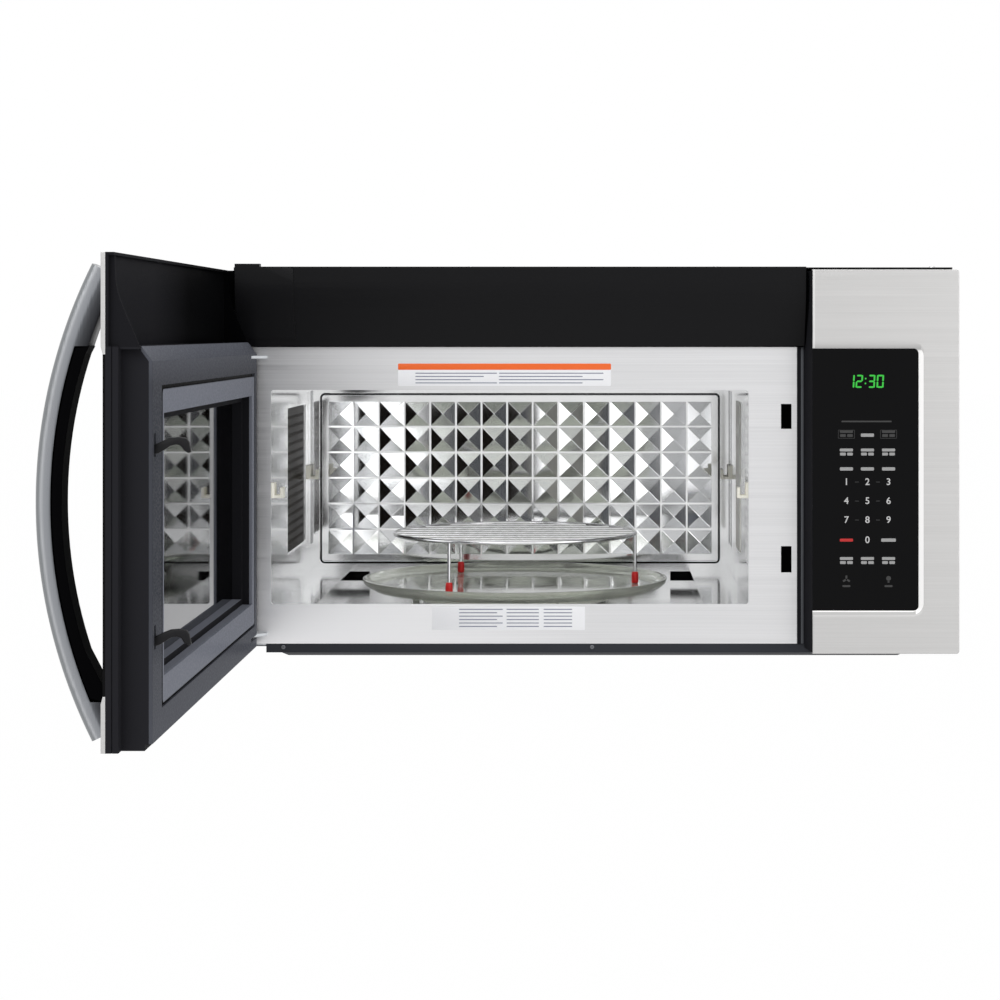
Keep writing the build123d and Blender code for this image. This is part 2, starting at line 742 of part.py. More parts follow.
with BuildPart() as cooling_fan_frame:
    frame_x = (fan_x - fan_frame / 2, fan_x + fan_frame / 2)
    frame_z = (fan_z - fan_frame / 2, fan_z + fan_frame / 2)
    block(frame_x, (fan_y - fan_deep, fan_y), frame_z)
    rod((fan_x, fan_y - fan_deep - 1, fan_z), (fan_x, fan_y + 1, fan_z), fan_hole, Mode.SUBTRACT)
    block((fan_x - 5, fan_x + 5), (fan_y - 4, fan_y), frame_z)
    rod((fan_x, fan_y - 14, fan_z), (fan_x, fan_y, fan_z), 20)
    rod((fan_x, fan_y - 32, fan_z), (fan_x, fan_y - 14, fan_z), 3)
cooling_fan_frame.part.label = "cooling_fan_frame"
export_step(cooling_fan_frame.part, "parts/cooling_fan_frame.step")


def axial_fan(origin, way, hub, tip, depth, blades, pitch):
    """A hub with flat pitched blades about an axis, in the part being built."""
    plane = Plane(origin=origin, z_dir=way)
    for index in range(blades):
        angle = index * 360 / blades
        spoke = plane.location * Location((0, 0, depth / 2), (0, 0, angle))
        with Locations(spoke * Location(((hub + tip) / 2, 0, 0), (pitch, 0, 0))):
            Box(tip - hub + 4, depth * 0.95, 1.4)
    with Locations(plane.location):
        Cylinder(hub, depth, align=(Align.CENTER, Align.CENTER, Align.MIN))


with BuildPart() as cooling_fan:
    axial_fan((fan_x, fan_y - 15, fan_z), (0, -1, 0), 14, 50, 16, 6, 40)
    rod((fan_x, fan_y - 14, fan_z), (fan_x, fan_y - 33, fan_z), 3 + running, Mode.SUBTRACT)
cooling_fan.part.label = "cooling_fan"
export_step(cooling_fan.part, "parts/cooling_fan.step")

oven_lamp_y = (lamp_vent_y[0] + lamp_vent_y[1]) / 2
oven_lamp_z = 0.0

with BuildPart() as oven_lamp:
    start = cavity_right + recess_deep + sheet
    block((start, start + 3), (oven_lamp_y - 22, oven_lamp_y + 22), (oven_lamp_z - 30, oven_lamp_z - 22))
    block((start, start + 34), (oven_lamp_y - 13, oven_lamp_y + 13), (oven_lamp_z - 26, oven_lamp_z - 23))
    bulb = (start + 18, oven_lamp_y, oven_lamp_z - 23)
    rod(bulb, (bulb[0], bulb[1], oven_lamp_z - 5), 9)
    rod((bulb[0], bulb[1], oven_lamp_z - 5), (bulb[0], bulb[1], oven_lamp_z + 18), 12)
oven_lamp.part.label = "oven_lamp"
export_step(oven_lamp.part, "parts/oven_lamp.step")

# ---------------------------------------------------------------- convection unit above the ceiling
convection_height = 34.0
convection_top = ceiling_top + convection_height

with BuildPart() as convection_housing:
    middle = (cavity_x, convection_y)
    rod((*middle, ceiling_top), (*middle, convection_top), convection_radius)
    inner_top = convection_top - sheet
    rod((*middle, ceiling_top - 1), (*middle, inner_top), convection_radius - sheet, Mode.SUBTRACT)
    rod((*middle, convection_top), (*middle, convection_top + 36), 30)
    rod((*middle, ceiling_top + 8), (*middle, convection_top), 3)
convection_housing.part.label = "convection_housing"
export_step(convection_housing.part, "parts/convection_housing.step")

heater_radius = 66.0
heater_tube = 3.2
heater_z = ceiling_top + 14

with BuildPart() as convection_heater:
    with Locations((cavity_x, convection_y, heater_z)):
        Torus(heater_radius, heater_tube)
    for x in (-12.0, 12.0):
        foot = (cavity_x + x, convection_y + sqrt(heater_radius**2 - x**2), heater_z)
        rod(foot, (foot[0], foot[1], convection_top - sheet), heater_tube - 0.4)
convection_heater.part.label = "convection_heater"
export_step(convection_heater.part, "parts/convection_heater.step")

with BuildPart() as convection_fan:
    axial_fan((cavity_x, convection_y, ceiling_top + 7), (0, 0, 1), 12, 54, 18, 8, 90)
    bore_start = (cavity_x, convection_y, ceiling_top + 8)
    rod(bore_start, (cavity_x, convection_y, ceiling_top + 26), 3 + running, Mode.SUBTRACT)
convection_fan.part.label = "convection_fan"
export_step(convection_fan.part, "parts/convection_fan.step")

# ---------------------------------------------------------------- exhaust blower, duct frame and flap
blower_y = (duct_y[0] + duct_y[1]) / 2
scroll_radius = blower_radius + 3
duct_frame_top = case_top - sheet
duct_frame_low = duct_frame_top - duct_height
inlet_radius = 34.0
blower_motor_radius = 36.0
blower_shaft = 4.0

with BuildPart() as blower_housing:
    for side in (-1, 1):
        x = sorted((side * blower_gap, side * (blower_gap + blower_width)))
        rod((x[0], blower_y, blower_z), (x[1], blower_y, blower_z), scroll_radius)
        block(x, (duct_y[0], duct_y[1]), (blower_z, duct_frame_low))
        hollow_start = (x[0] + sheet, blower_y, blower_z)
        hollow_end = (x[1] - sheet, blower_y, blower_z)
        rod(hollow_start, hollow_end, scroll_radius - sheet, Mode.SUBTRACT)
        inner_y = (duct_y[0] + sheet, duct_y[1] - sheet)
        block((x[0] + sheet, x[1] - sheet), inner_y, (blower_z, duct_frame_low + 1), Mode.SUBTRACT)
        rod((x[0] - 1, blower_y, blower_z), (x[1] + 1, blower_y, blower_z), inlet_radius, Mode.SUBTRACT)
    bridge_z = blower_z - scroll_radius
    block((-blower_gap - 4, blower_gap + 4), (blower_y - 12, blower_y + 12), (bridge_z, bridge_z + 1.5))
    rod((-48, blower_y, blower_z), (48, blower_y, blower_z), blower_motor_radius)
    block((-44, 44), (blower_y - 10, blower_y + 10), (bridge_z + 1.5, blower_z - 20))
    rod((-60, blower_y, blower_z), (60, blower_y, blower_z), blower_shaft + running, Mode.SUBTRACT)
blower_housing.part.label = "blower_housing"
export_step(blower_housing.part, "parts/blower_housing.step")

blade_count = 24

with BuildPart() as blower_wheels:
    end_x = blower_gap + blower_width - 4
    rod((-end_x + 2, blower_y, blower_z), (end_x - 2, blower_y, blower_z), blower_shaft)
    for side in (-1, 1):
        near, far = side * (blower_gap + 4), side * end_x
        rod((near, blower_y, blower_z), (near + side * 2, blower_y, blower_z), blower_radius)
        rod((far - side * 2, blower_y, blower_z), (far, blower_y, blower_z), blower_radius)
        rim_start = (far - side * 3, blower_y, blower_z)
        rod(rim_start, (far + side, blower_y, blower_z), blower_radius - 6, Mode.SUBTRACT)
        blades = Plane(origin=(near, blower_y, blower_z), z_dir=(side, 0, 0))
        with BuildSketch(blades):
            with PolarLocations(blower_radius - 4, blade_count):
                Rectangle(6, 1.2)
        extrude(amount=abs(far - near))
        rod((far - side * 12, blower_y, blower_z), (far - side * 2, blower_y, blower_z), blower_shaft)
blower_wheels.part.label = "blower_wheels"
export_step(blower_wheels.part, "parts/blower_wheels.step")

flap_hinge_y = duct_y[1] - 4
flap_z = duct_frame_low + 4

with BuildPart() as duct_frame:
    ring_x = (duct_x[0] - duct_wall, duct_x[1] + duct_wall)
    ring_y = (duct_y[0] - duct_wall, duct_y[1] + duct_wall)
    block(ring_x, ring_y, (duct_frame_low, duct_frame_top))
    block(duct_x, duct_y, (duct_frame_low - 1, duct_frame_top + 1), Mode.SUBTRACT)
    block(duct_x, (duct_y[0], duct_y[0] + 2), (duct_frame_low, duct_frame_low + 3))
    for x in (duct_x[0] - duct_wall - 1, duct_x[1] - 1):
        bore_end = (x + duct_wall + 2, flap_hinge_y, flap_z)
        rod((x, flap_hinge_y, flap_z), bore_end, flap_pin + running, Mode.SUBTRACT)
duct_frame.part.label = "duct_frame"
export_step(duct_frame.part, "parts/duct_frame.step")

with BuildPart() as damper_flap:
    flap_x = (duct_x[0] + 1, duct_x[1] - 1)
    block(flap_x, (duct_y[0] + 1, flap_hinge_y), (flap_z - 0.7, flap_z - 0.7 + flap_thick))
    rod((duct_x[0] - 3, flap_hinge_y, flap_z), (duct_x[1] + 3, flap_hinge_y, flap_z), flap_pin)
damper_flap.part.label = "damper_flap"
export_step(damper_flap.part, "parts/damper_flap.step")

# ---------------------------------------------------------------- bottom pan, filters and cooktop lamp
pan_y = (cavity_front, -8.0)
pan_low = case_bottom - pan_deep
filter_z = pan_low + fit


lid_pin = 1.5
lid_gap = 0.5
ear = 4.0
pan_floor = 1.5


def lid_places():
    """Centre and size of each opening in the pan: two grease filters and the lamp cover."""
    return (
        (-filter_x, filter_y, filter_size),
        (filter_x, filter_y, filter_size),
        (0.0, lamp_y, lamp_size),
    )


def lid_pin_place(y, size):
    """Y and Z of a lid's hinge pin, just inside its front edge."""
    return y - size[1] / 2 + 3, filter_z + filter_thick / 2


with BuildPart() as bottom_pan:
    flat_x = (-case_x + sheet, case_x - sheet)
    block(flat_x, (cavity_front, -sheet), (case_bottom, pan_flange_top))
    lip_z = (case_bottom - pan_lip, plate_bottom)
    block((-pan_top_half, pan_top_half), (plate_y, cavity_front), (lip_z[0], plate_bottom))
    with BuildSketch(Plane.XY.offset(case_bottom)):
        with Locations((0, (plate_y + pan_y[1]) / 2)):
            Rectangle(2 * pan_top_half, pan_y[1] - plate_y)
    with BuildSketch(Plane.XY.offset(pan_low)):
        with Locations((0, (plate_y + pan_setback + pan_y[1] - pan_setback) / 2)):
            Rectangle(2 * pan_bottom_half, pan_y[1] - plate_y - 2 * pan_setback)
    loft()
    pocket_y = (plate_y + 2 * pan_setback, pan_y[1] - 2 * pan_setback)
    pocket_x = (-pan_bottom_half + 20, pan_bottom_half - 20)
    block(pocket_x, pocket_y, (pan_low + pan_floor, case_bottom + 2 * sheet), Mode.SUBTRACT)
    for x, y, size in lid_places():
        half_x, half_y = size[0] / 2 + lid_gap, size[1] / 2 + lid_gap
        opening_y = (y - half_y - 1, y + half_y)
        block((x - half_x, x + half_x), opening_y, (pan_low - 1, case_bottom), Mode.SUBTRACT)
        pin_y, pin_z = lid_pin_place(y, size)
        for side in (-1, 1):
            ear_x = sorted((x + side * half_x, x + side * (half_x + ear)))
            block(ear_x, (pin_y - 4, pin_y + 4), (pan_low + pan_floor, pin_z + 4))
            bore = lid_pin + running
            rod((ear_x[0] - 1, pin_y, pin_z), (ear_x[1] + 1, pin_y, pin_z), bore, Mode.SUBTRACT)
    block(transformer_x, transformer_y, (case_bottom, pan_flange_top))
    block((320.0, 360.0), (-190.0, -110.0), (case_bottom, pan_flange_top))
bottom_pan.part.label = "bottom_pan"
export_step(bottom_pan.part, "parts/bottom_pan.step")


def lid_frame(x, y, size, thick):
    """A flat lid with hinge pins at its front edge, in the part being built."""
    lid_y = (y - size[1] / 2, y + size[1] / 2)
    block((x - size[0] / 2, x + size[0] / 2), lid_y, (filter_z, filter_z + thick))
    pin_y, pin_z = lid_pin_place(y, size)
    reach = size[0] / 2 + ear
    rod((x - reach, pin_y, pin_z), (x + reach, pin_y, pin_z), lid_pin)


mesh_pitch = 10.0
mesh_hole = 7.0
mesh_border = 12.0


def grease_filter(x):
    """A framed mesh filter as its own part."""
    with BuildPart() as frame:
        lid_frame(x, filter_y, filter_size, filter_thick)
        hollow = (filter_size[0] - 2 * mesh_border, filter_size[1] - 2 * mesh_border)
        with BuildSketch(Plane.XY.offset(filter_z + filter_thick)) as well_cut:
            with Locations((x, filter_y)):
                Rectangle(*hollow)
        extrude(well_cut.sketch, amount=-filter_thick + 2, mode=Mode.SUBTRACT)
        columns, rows = int(hollow[0] / mesh_pitch), int(hollow[1] / mesh_pitch)
        with BuildSketch(Plane.XY.offset(filter_z)) as mesh:
            with Locations((x, filter_y)):
                with GridLocations(mesh_pitch, mesh_pitch, columns, rows):
                    Rectangle(mesh_hole, mesh_hole)
        extrude(mesh.sketch, amount=filter_thick, mode=Mode.SUBTRACT)
    return frame


grease_filter_left = grease_filter(-filter_x)
grease_filter_left.part.label = "grease_filter_left"
export_step(grease_filter_left.part, "parts/grease_filter_left.step")

grease_filter_right = grease_filter(filter_x)
grease_filter_right.part.label = "grease_filter_right"
export_step(grease_filter_right.part, "parts/grease_filter_right.step")

with BuildPart() as lamp_cover:
    lid_frame(0.0, lamp_y, lamp_size, filter_thick)
lamp_cover.part.label = "lamp_cover"
export_step(lamp_cover.part, "parts/lamp_cover.step")

with BuildPart() as cooktop_lamp:
    socket_x = (lamp_size[0] / 2 + 6, lamp_size[0] / 2 + 22)
    block(socket_x, (lamp_y - 14, lamp_y + 14), (pan_low + pan_floor, pan_low + 24))
    rod((socket_x[0], lamp_y, pan_low + 16), (-lamp_size[0] / 2 + 10, lamp_y, pan_low + 16), 8)
cooktop_lamp.part.label = "cooktop_lamp"
export_step(cooktop_lamp.part, "parts/cooktop_lamp.step")

screw_x = (-326.0, -1.0)
screw_head = 2.5

with BuildPart() as pan_screws:
    for x in screw_x:
        z = case_bottom - 0.8
        rod((x, plate_y - 1.5, z), (x, plate_y, z), screw_head)
pan_screws.part.label = "pan_screws"
export_step(pan_screws.part, "parts/pan_screws.step")

# ---------------------------------------------------------------- turntable
motor_top = well - sheet
tray_bottom = well + 2 * (wheel_radius + fit / 2)
tray_floor = tray_bottom + tray_thick
axle_z = well + wheel_radius + fit / 2
stem_depth = 8.0
table_plane = Plane(origin=(cavity_x, table_y, 0), x_dir=(1, 0, 0), z_dir=(0, -1, 0))
table_line = Axis((cavity_x, table_y, 0), (0, 0, 1))

with BuildPart() as turntable_motor:
    rod((cavity_x, table_y, motor_top - motor_height), (cavity_x, table_y, motor_top), motor_radius)
    block((cavity_x - 32, cavity_x + 32), (table_y - 8, table_y + 8), (motor_top - 1.5, motor_top))
    bore = shaft_radius + running
    bore_foot = (cavity_x, table_y, motor_top - stem_depth - fit)
    rod(bore_foot, (cavity_x, table_y, motor_top + 1), bore, Mode.SUBTRACT)
turntable_motor.part.label = "turntable_motor"
export_step(turntable_motor.part, "parts/turntable_motor.step")

coupler_low = well + 4
coupler_top = tray_bottom - fit
lug_radius = 20.0

with BuildPart() as turntable_coupler:
    rod((cavity_x, table_y, motor_top - stem_depth), (cavity_x, table_y, coupler_low), shaft_radius)
    rod((cavity_x, table_y, coupler_low), (cavity_x, table_y, coupler_top), 10)
    with BuildSketch(Plane.XY.offset(coupler_low)):
        with Locations((cavity_x, table_y)):
            with PolarLocations(12, 3):
                Rectangle(24, 9)
    extrude(amount=coupler_top - coupler_low)
turntable_coupler.part.label = "turntable_coupler"
export_step(turntable_coupler.part, "parts/turntable_coupler.step")

with BuildPart() as roller_ring:
    rod((cavity_x, table_y, axle_z - 4), (cavity_x, table_y, axle_z + 4), ring_radius)
    hole = ring_radius - ring_width
    rod((cavity_x, table_y, axle_z - 5), (cavity_x, table_y, axle_z + 5), hole, Mode.SUBTRACT)
    for index in range(3):
        way = Vector(1, 0, 0).rotate(Axis.Z, 60 + 120 * index)
        centre = Vector(cavity_x, table_y, axle_z)
        wheel_start = ring_radius + 3
        rod(centre + way * (ring_radius - 1), centre + way * (wheel_start + wheel_width + 2.4), wheel_axle)
        cap_start = wheel_start + wheel_width + fit
        rod(centre + way * cap_start, centre + way * (cap_start + 1.6), wheel_axle + 1.4)
roller_ring.part.label = "roller_ring"
export_step(roller_ring.part, "parts/roller_ring.step")


def roller(index):
    """One wheel of the roller ring on its axle."""
    with BuildPart() as wheel:
        way = Vector(1, 0, 0).rotate(Axis.Z, 60 + 120 * index)
        start = Vector(cavity_x, table_y, axle_z) + way * (ring_radius + 3)
        rod(start, start + way * wheel_width, wheel_radius)
        rod(start - way, start + way * (wheel_width + 1), wheel_axle + running, Mode.SUBTRACT)
    return wheel


for index in range(3):
    wheel = roller(index)
    wheel.part.label = f"roller_{index + 1}"
    export_step(wheel.part, f"parts/roller_{index + 1}.step")

with BuildPart() as glass_tray:
    with BuildSketch(table_plane):
        with BuildLine():
            Polyline(
                (0, tray_bottom),
                (tray_radius - 12, tray_bottom),
                (tray_radius - 1, tray_bottom + 8),
                (tray_radius, tray_floor + tray_rim),
                (tray_radius - 3, tray_floor + tray_rim),
                (tray_radius - 5, tray_bottom + 9),
                (tray_radius - 14, tray_floor),
                (0, tray_floor),
                close=True,
            )
        make_face()
    revolve(axis=table_line)
    with BuildSketch(Plane.XY.offset(tray_bottom)):
        with Locations((cavity_x, table_y)):
            with PolarLocations(lug_radius, 3, start_angle=60):
                Rectangle(8, 10)
    extrude(amount=-5)
glass_tray.part.label = "glass_tray"
export_step(glass_tray.part, "parts/glass_tray.step")

rack_z = tray_floor + rack_height
rack_wires = 9
rack_wire_pitch = 27.0
cross_wire = 1.5
wire_inset = 0.3
wire_z = rack_z - 0.2
ring_chamfer = 1.2
rack_leg = 1.9
leg_past = 0.7

with BuildPart() as wire_rack:
    ring_place = Plane(origin=(cavity_x, table_y, rack_z - rack_wire), x_dir=(1, 1, 0), z_dir=(0, 0, 1))
    with BuildSketch(ring_place):
        Circle(rack_radius + rack_wire)
        Circle(rack_radius - rack_wire, mode=Mode.SUBTRACT)
    extrude(amount=2 * rack_wire)
    chamfer(wire_rack.edges().filter_by(GeomType.CIRCLE), ring_chamfer)
    for index in range(rack_wires):
        y = (index - (rack_wires - 1) / 2) * rack_wire_pitch
        half = sqrt((rack_radius - wire_inset) ** 2 - y**2)
        wire_ends = ((cavity_x - half, table_y + y, wire_z), (cavity_x + half, table_y + y, wire_z))
        rod(wire_ends[0], wire_ends[1], cross_wire)
    for index in range(3):
        way = Vector(rack_radius, 0, 0).rotate(Axis.Z, 120 * index)
        foot = Vector(cavity_x, table_y, tray_floor + 4) + way
        rod(foot, (foot.X, foot.Y, rack_z + leg_past), rack_leg)
wire_rack.part.label = "wire_rack"
export_step(wire_rack.part, "parts/wire_rack.step")

with BuildPart() as rack_feet:
    for index in range(3):
        way = Vector(rack_radius, 0, 0).rotate(Axis.Z, 120 * index)
        foot = Vector(cavity_x, table_y, tray_floor) + way
        rod(foot, (foot.X, foot.Y, tray_floor + rack_foot_height), rack_foot_radius)
        hole_top = (foot.X, foot.Y, tray_floor + rack_foot_height + 1)
        rod((foot.X, foot.Y, tray_floor + 4), hole_top, rack_leg, Mode.SUBTRACT)
rack_feet.part.label = "rack_feet"
export_step(rack_feet.part, "parts/rack_feet.step")

# ---------------------------------------------------------------- door, drawn closed
narrow_x = (window_x[0] + window_step, window_x[1] - window_step)
narrow_z = (window_z[0] + window_step, window_z[1] - window_step)
glass_lap = 3.0
pocket_x = (narrow_x[0] - glass_lap, narrow_x[1] + glass_lap)
pocket_z = (narrow_z[0] - glass_lap, narrow_z[1] + glass_lap)
pane_x = (pocket_x[0] + glass_clearance, pocket_x[1] - glass_clearance)
pane_z = (pocket_z[0] + glass_clearance, pocket_z[1] - glass_clearance)
shelf_y = face_y + shelf_reach
wing_thick = 4.0
notch_gap = 0.3
notch_reach = 34.0
boss_radius = 7.0
boss_half = 13.0
guide_rib = 1.2
bar_y = (hinge_y - 3, hinge_y + 8)


def open_door(piece):
    """A finished door piece turned from closed to where it stands open."""
    return piece.part.rotate(hinge_line, -door_rest_angle)


def hinge_notches():
    """Cuts the room that the two hinge brackets need in the door's hinge side."""
    for height in bracket_heights:
        half = bracket_thick / 2 + notch_gap
        notch_x = (door_left - 1, hinge_x + notch_reach)
        notch_y = (hinge_y - bracket_eye - 2.5, door_back + 1)
        block(notch_x, notch_y, (height - half, height + half), Mode.SUBTRACT)


with BuildPart() as door_skin:
    block((door_left, door_right), (face_y, web_front), (door_bottom, door_top))
    inside_x = (door_left + skin_sheet, door_right - skin_sheet)
    inside_z = (door_bottom + skin_sheet, door_top - skin_sheet)
    block(inside_x, (face_y + skin_sheet, web_front + 1), inside_z, Mode.SUBTRACT)
    pad_x = (glass_left - glass_bevel - rim_pad, door_right)
    block(pad_x, (face_y + skin_sheet, web_front), (rim_z[0] - rim_pad, rim_z[1] + rim_pad))
    glass_window(glass_left, door_right)
door_skin.part.label = "door_skin"
export_step(open_door(door_skin), "parts/door_skin.step")

with BuildPart() as door_glass:
    glass_x = (glass_left + glass_clearance, door_right)
    block(glass_x, (glass_y, web_front), (glass_bottom + glass_clearance, glass_top - glass_clearance))
    fillet(door_glass.edges().filter_by(Axis.Y).group_by(Axis.X)[0], glass_corner)
door_glass.part.label = "door_glass"
export_step(open_door(door_glass), "parts/door_glass.step")

wing_slope = (door_shelf_top - door_inner_top) / (door_back - shelf_y)
wing_foot_z = door_shelf_top - wing_thick - (inner_frame_front - shelf_y) * wing_slope

with BuildPart() as door_frame:
    block((door_left, door_right), (web_front, web_back), (door_bottom, door_top))
    # outer rim
    rim_y = (web_front, outer_rim_back)
    block((door_left, door_right), rim_y, (door_bottom, door_bottom + door_wall))
    block((door_right - door_wall, door_right), rim_y, (door_bottom, door_shelf_top))
    block((door_left, door_left + door_wall), rim_y, (door_bottom, door_shelf_top))
    flange_y = (outer_rim_back - door_wall, outer_rim_back)
    block((door_left, door_right), flange_y, (door_bottom, door_inner_bottom + door_wall))
    block((door_inner_right - door_wall, door_right), flange_y, (door_bottom, door_shelf_top))
    # inner box
    inner_floor_z = (door_inner_bottom, door_inner_bottom + door_wall)
    block((door_left, door_inner_right), (web_front, inner_frame_front), inner_floor_z)
    # strip under the inner box
    strip_x = (door_left, door_inner_right)
    block(strip_x, (web_front, bottom_rim_back), (door_bottom, door_bottom + door_wall))
    strip_y = (bottom_rim_back - door_wall, bottom_rim_back)
    block(strip_x, strip_y, (door_bottom, door_inner_bottom + 1))
    strip_end_x = (door_inner_right - door_wall, door_inner_right)
    block(strip_end_x, (web_front, bottom_rim_back), (door_bottom, door_inner_bottom + 1))
    block((door_left, shell_right), (web_front, shelf_y), (door_shelf_top - door_wall, door_shelf_top))
    for x in (door_left, door_inner_right - door_wall):
        with BuildSketch(Plane.YZ.offset(x)):
            with BuildLine():
                Polyline(
                    (web_front, door_inner_bottom),
                    (web_front, door_shelf_top),
                    (shelf_y, door_shelf_top),
                    (shelf_y, door_shelf_top - wing_thick),
                    (inner_frame_front, wing_foot_z),
                    (inner_frame_front, door_inner_bottom),
                    close=True,
                )
            make_face()
        extrude(amount=door_wall)
    # upper shell
    for x in (hinge_x, shell_right - door_wall):
        with BuildSketch(Plane.YZ.offset(x)):
            gusset_face(0, door_top, door_shelf_top, front_y=web_front)
        extrude(amount=door_wall)
    block((door_left, door_right), (web_front, face_y + gusset_depth), (door_top - door_wall, door_top))
    post_x = (hinge_x - fit - hinge_post_wide, hinge_x - fit)
    block(post_x, (web_front, hinge_y - fit), (door_shelf_top, door_top))
    # window reveal, stepped, with the pocket for the panes behind the step
    ring_x = (window_x[0] - door_wall, window_x[1] + door_wall)
    ring_z = (window_z[0] - door_wall, window_z[1] + door_wall)
    block(ring_x, (web_front, inner_frame_front), ring_z)
    block(window_x, (step_y, door_back), window_z, Mode.SUBTRACT)
    block(narrow_x, (window_glass_y - 1, step_y + 1), narrow_z, Mode.SUBTRACT)
    block(pocket_x, (web_front - 1, window_glass_y), pocket_z, Mode.SUBTRACT)
    # hinge bosses and their bores
    for height in bracket_heights:
        low, high = height - boss_half, min(height + boss_half, door_shelf_top - 1)
        rod((hinge_x, hinge_y, low), (hinge_x, hinge_y, high), boss_radius)
    block((door_left - 10, door_left), (hinge_y - 12, hinge_y + 12), (door_bottom, door_top), Mode.SUBTRACT)
    for height in bracket_heights:
        low, high = height - pin_length / 2 - fit, height + pin_length / 2 + fit
        rod((hinge_x, hinge_y, low), (hinge_x, hinge_y, high), pin_radius + running, Mode.SUBTRACT)
    hinge_notches()
    # guide for the latch bar
    for x in (hook_x[0] - fit - guide_rib, hook_x[1] + fit):
        block((x, x + guide_rib), (web_front, bar_y[1]), (hook_tops[1] - 12, hook_tops[0] + 10))
    # lug that the latch spring bears on
    lug_z = hook_tops[0] + 26
    block((hook_x[0] - 4, hook_x[1] + 4), (web_front, bar_y[1]), (lug_z, lug_z + 3))
    # parting line round the free edge
    seam_y = (web_front + outer_rim_back) / 2
    seam_x = (door_right - 0.8, door_right + 1)
    seam_z = (door_bottom - 1, door_shelf_top)
    block(seam_x, (seam_y - 0.5, seam_y + 0.5), seam_z, Mode.SUBTRACT)
door_frame.part.label = "door_frame"
export_step(open_door(door_frame), "parts/door_frame.step")

with BuildPart() as door_inner_frame:
    frame_z = (door_inner_bottom, door_inner_top)
    block((door_left, door_inner_right), (inner_frame_front, door_back), frame_z)
    with BuildSketch(Plane.YZ.offset(door_left)):
        with BuildLine():
            Polyline(
                (shelf_y, door_shelf_top),
                (door_back, door_inner_top),
                (door_back, door_inner_top - 6),
                (inner_frame_front, door_inner_top - 6),
                (inner_frame_front, wing_foot_z),
                (shelf_y, door_shelf_top - wing_thick),
                close=True,
            )
        make_face()
    extrude(amount=door_inner_right - door_left)
    block(window_x, (inner_frame_front - 1, door_back + 1), window_z, Mode.SUBTRACT)
    groove_mid = ((choke_groove_x[0] + choke_groove_x[1]) / 2, (choke_groove_z[0] + choke_groove_z[1]) / 2)
    with BuildSketch(Plane.XZ.offset(-door_back)):
        with Locations(groove_mid):
            groove_size = (choke_groove_x[1] - choke_groove_x[0], choke_groove_z[1] - choke_groove_z[0])
            Rectangle(*groove_size)
            inset = 2 * choke_groove_width
            Rectangle(groove_size[0] - inset, groove_size[1] - inset, mode=Mode.SUBTRACT)
    extrude(amount=inner_frame_thick - 1, mode=Mode.SUBTRACT)
    for top in hook_tops:
        slot_z = (top - hook_tip - 1, top + latch_lift + 1)
        block((hook_x[0] - 1, hook_x[1] + 1), (inner_frame_front - 1, door_back + 1), slot_z, Mode.SUBTRACT)
    hinge_notches()
door_inner_frame.part.label = "door_inner_frame"
export_step(open_door(door_inner_frame), "parts/door_inner_frame.step")

pane_back = window_glass_y - inner_glass_thick

with BuildPart() as door_inner_glass:
    block(pane_x, (pane_back, window_glass_y), pane_z)
door_inner_glass.part.label = "door_inner_glass"
export_step(open_door(door_inner_glass), "parts/door_inner_glass.step")

with BuildPart() as door_screen:
    block(pane_x, (pane_back - 0.6, pane_back), pane_z)
door_screen.part.label = "door_screen"
export_step(open_door(door_screen), "parts/door_screen.step")

with BuildPart() as latch_bar:
    bar_z = (hook_tops[1] - hook_tip, hook_tops[0] + 8)
    block(hook_x, bar_y, bar_z)
    for top in hook_tops:
        block(hook_x, (bar_y[1] - 1, door_back + hook_reach), (top - hook_height, top))
        tip_y = (door_back + hook_reach - 8, door_back + hook_reach)
        block(hook_x, tip_y, (top - hook_tip, top))
latch_bar.part.label = "latch_bar"
export_step(open_door(latch_bar), "parts/latch_bar.step")

spring_radius = 2.0
spring_wire = 0.4
spring_pitch = 2.0
spring_x = (hook_x[0] + hook_x[1]) / 2
spring_y = (bar_y[0] + bar_y[1]) / 2
spring_low = bar_z[1] + spring_wire + 0.1
spring_high = lug_z - spring_wire - 0.1

with BuildPart() as latch_spring:
    with BuildLine():
        spring_foot = (spring_x, spring_y, spring_low)
        Helix(spring_pitch, spring_high - spring_low, spring_radius, center=spring_foot)
    coil_start = (spring_x + spring_radius, spring_y, spring_low)
    with BuildSketch(Plane(origin=coil_start, z_dir=(0, 1, 0))):
        Circle(spring_wire)
    sweep(is_frenet=True)
latch_spring.part.label = "latch_spring"
export_step(open_door(latch_spring), "parts/latch_spring.step")


# ---------------------------------------------------------------- handle, drawn on the closed door
def sagitta(radius, half_chord):
    """How far an arc falls from its middle to the ends of a chord."""
    return radius - sqrt(radius**2 - half_chord**2)


handle_y = face_y - handle_reach
handle_half = handle_length / 2
handle_end_y = handle_y + sagitta(handle_outer_radius, handle_half)
grip_y = face_y - handle_clear
grip_end_y = grip_y + sagitta(handle_inner_radius, handle_grip_half)


def handle_profile():
    """The bow handle's side outline, in the sketch being drawn."""
    with BuildLine() as outline:
        up, down = handle_mid_z + handle_half, handle_mid_z - handle_half
        foot_up, foot_down = handle_mid_z + handle_foot_half, handle_mid_z - handle_foot_half
        grip_up, grip_down = handle_mid_z + handle_grip_half, handle_mid_z - handle_grip_half
        ThreePointArc((handle_end_y, up), (handle_y, handle_mid_z), (handle_end_y, down))
        Polyline((handle_end_y, down), (face_y, down), (face_y, foot_down), (grip_end_y, grip_down))
        ThreePointArc((grip_end_y, grip_down), (grip_y, handle_mid_z), (grip_end_y, grip_up))
        Polyline((grip_end_y, grip_up), (face_y, foot_up), (face_y, up), (handle_end_y, up))
    make_face(outline.edges())


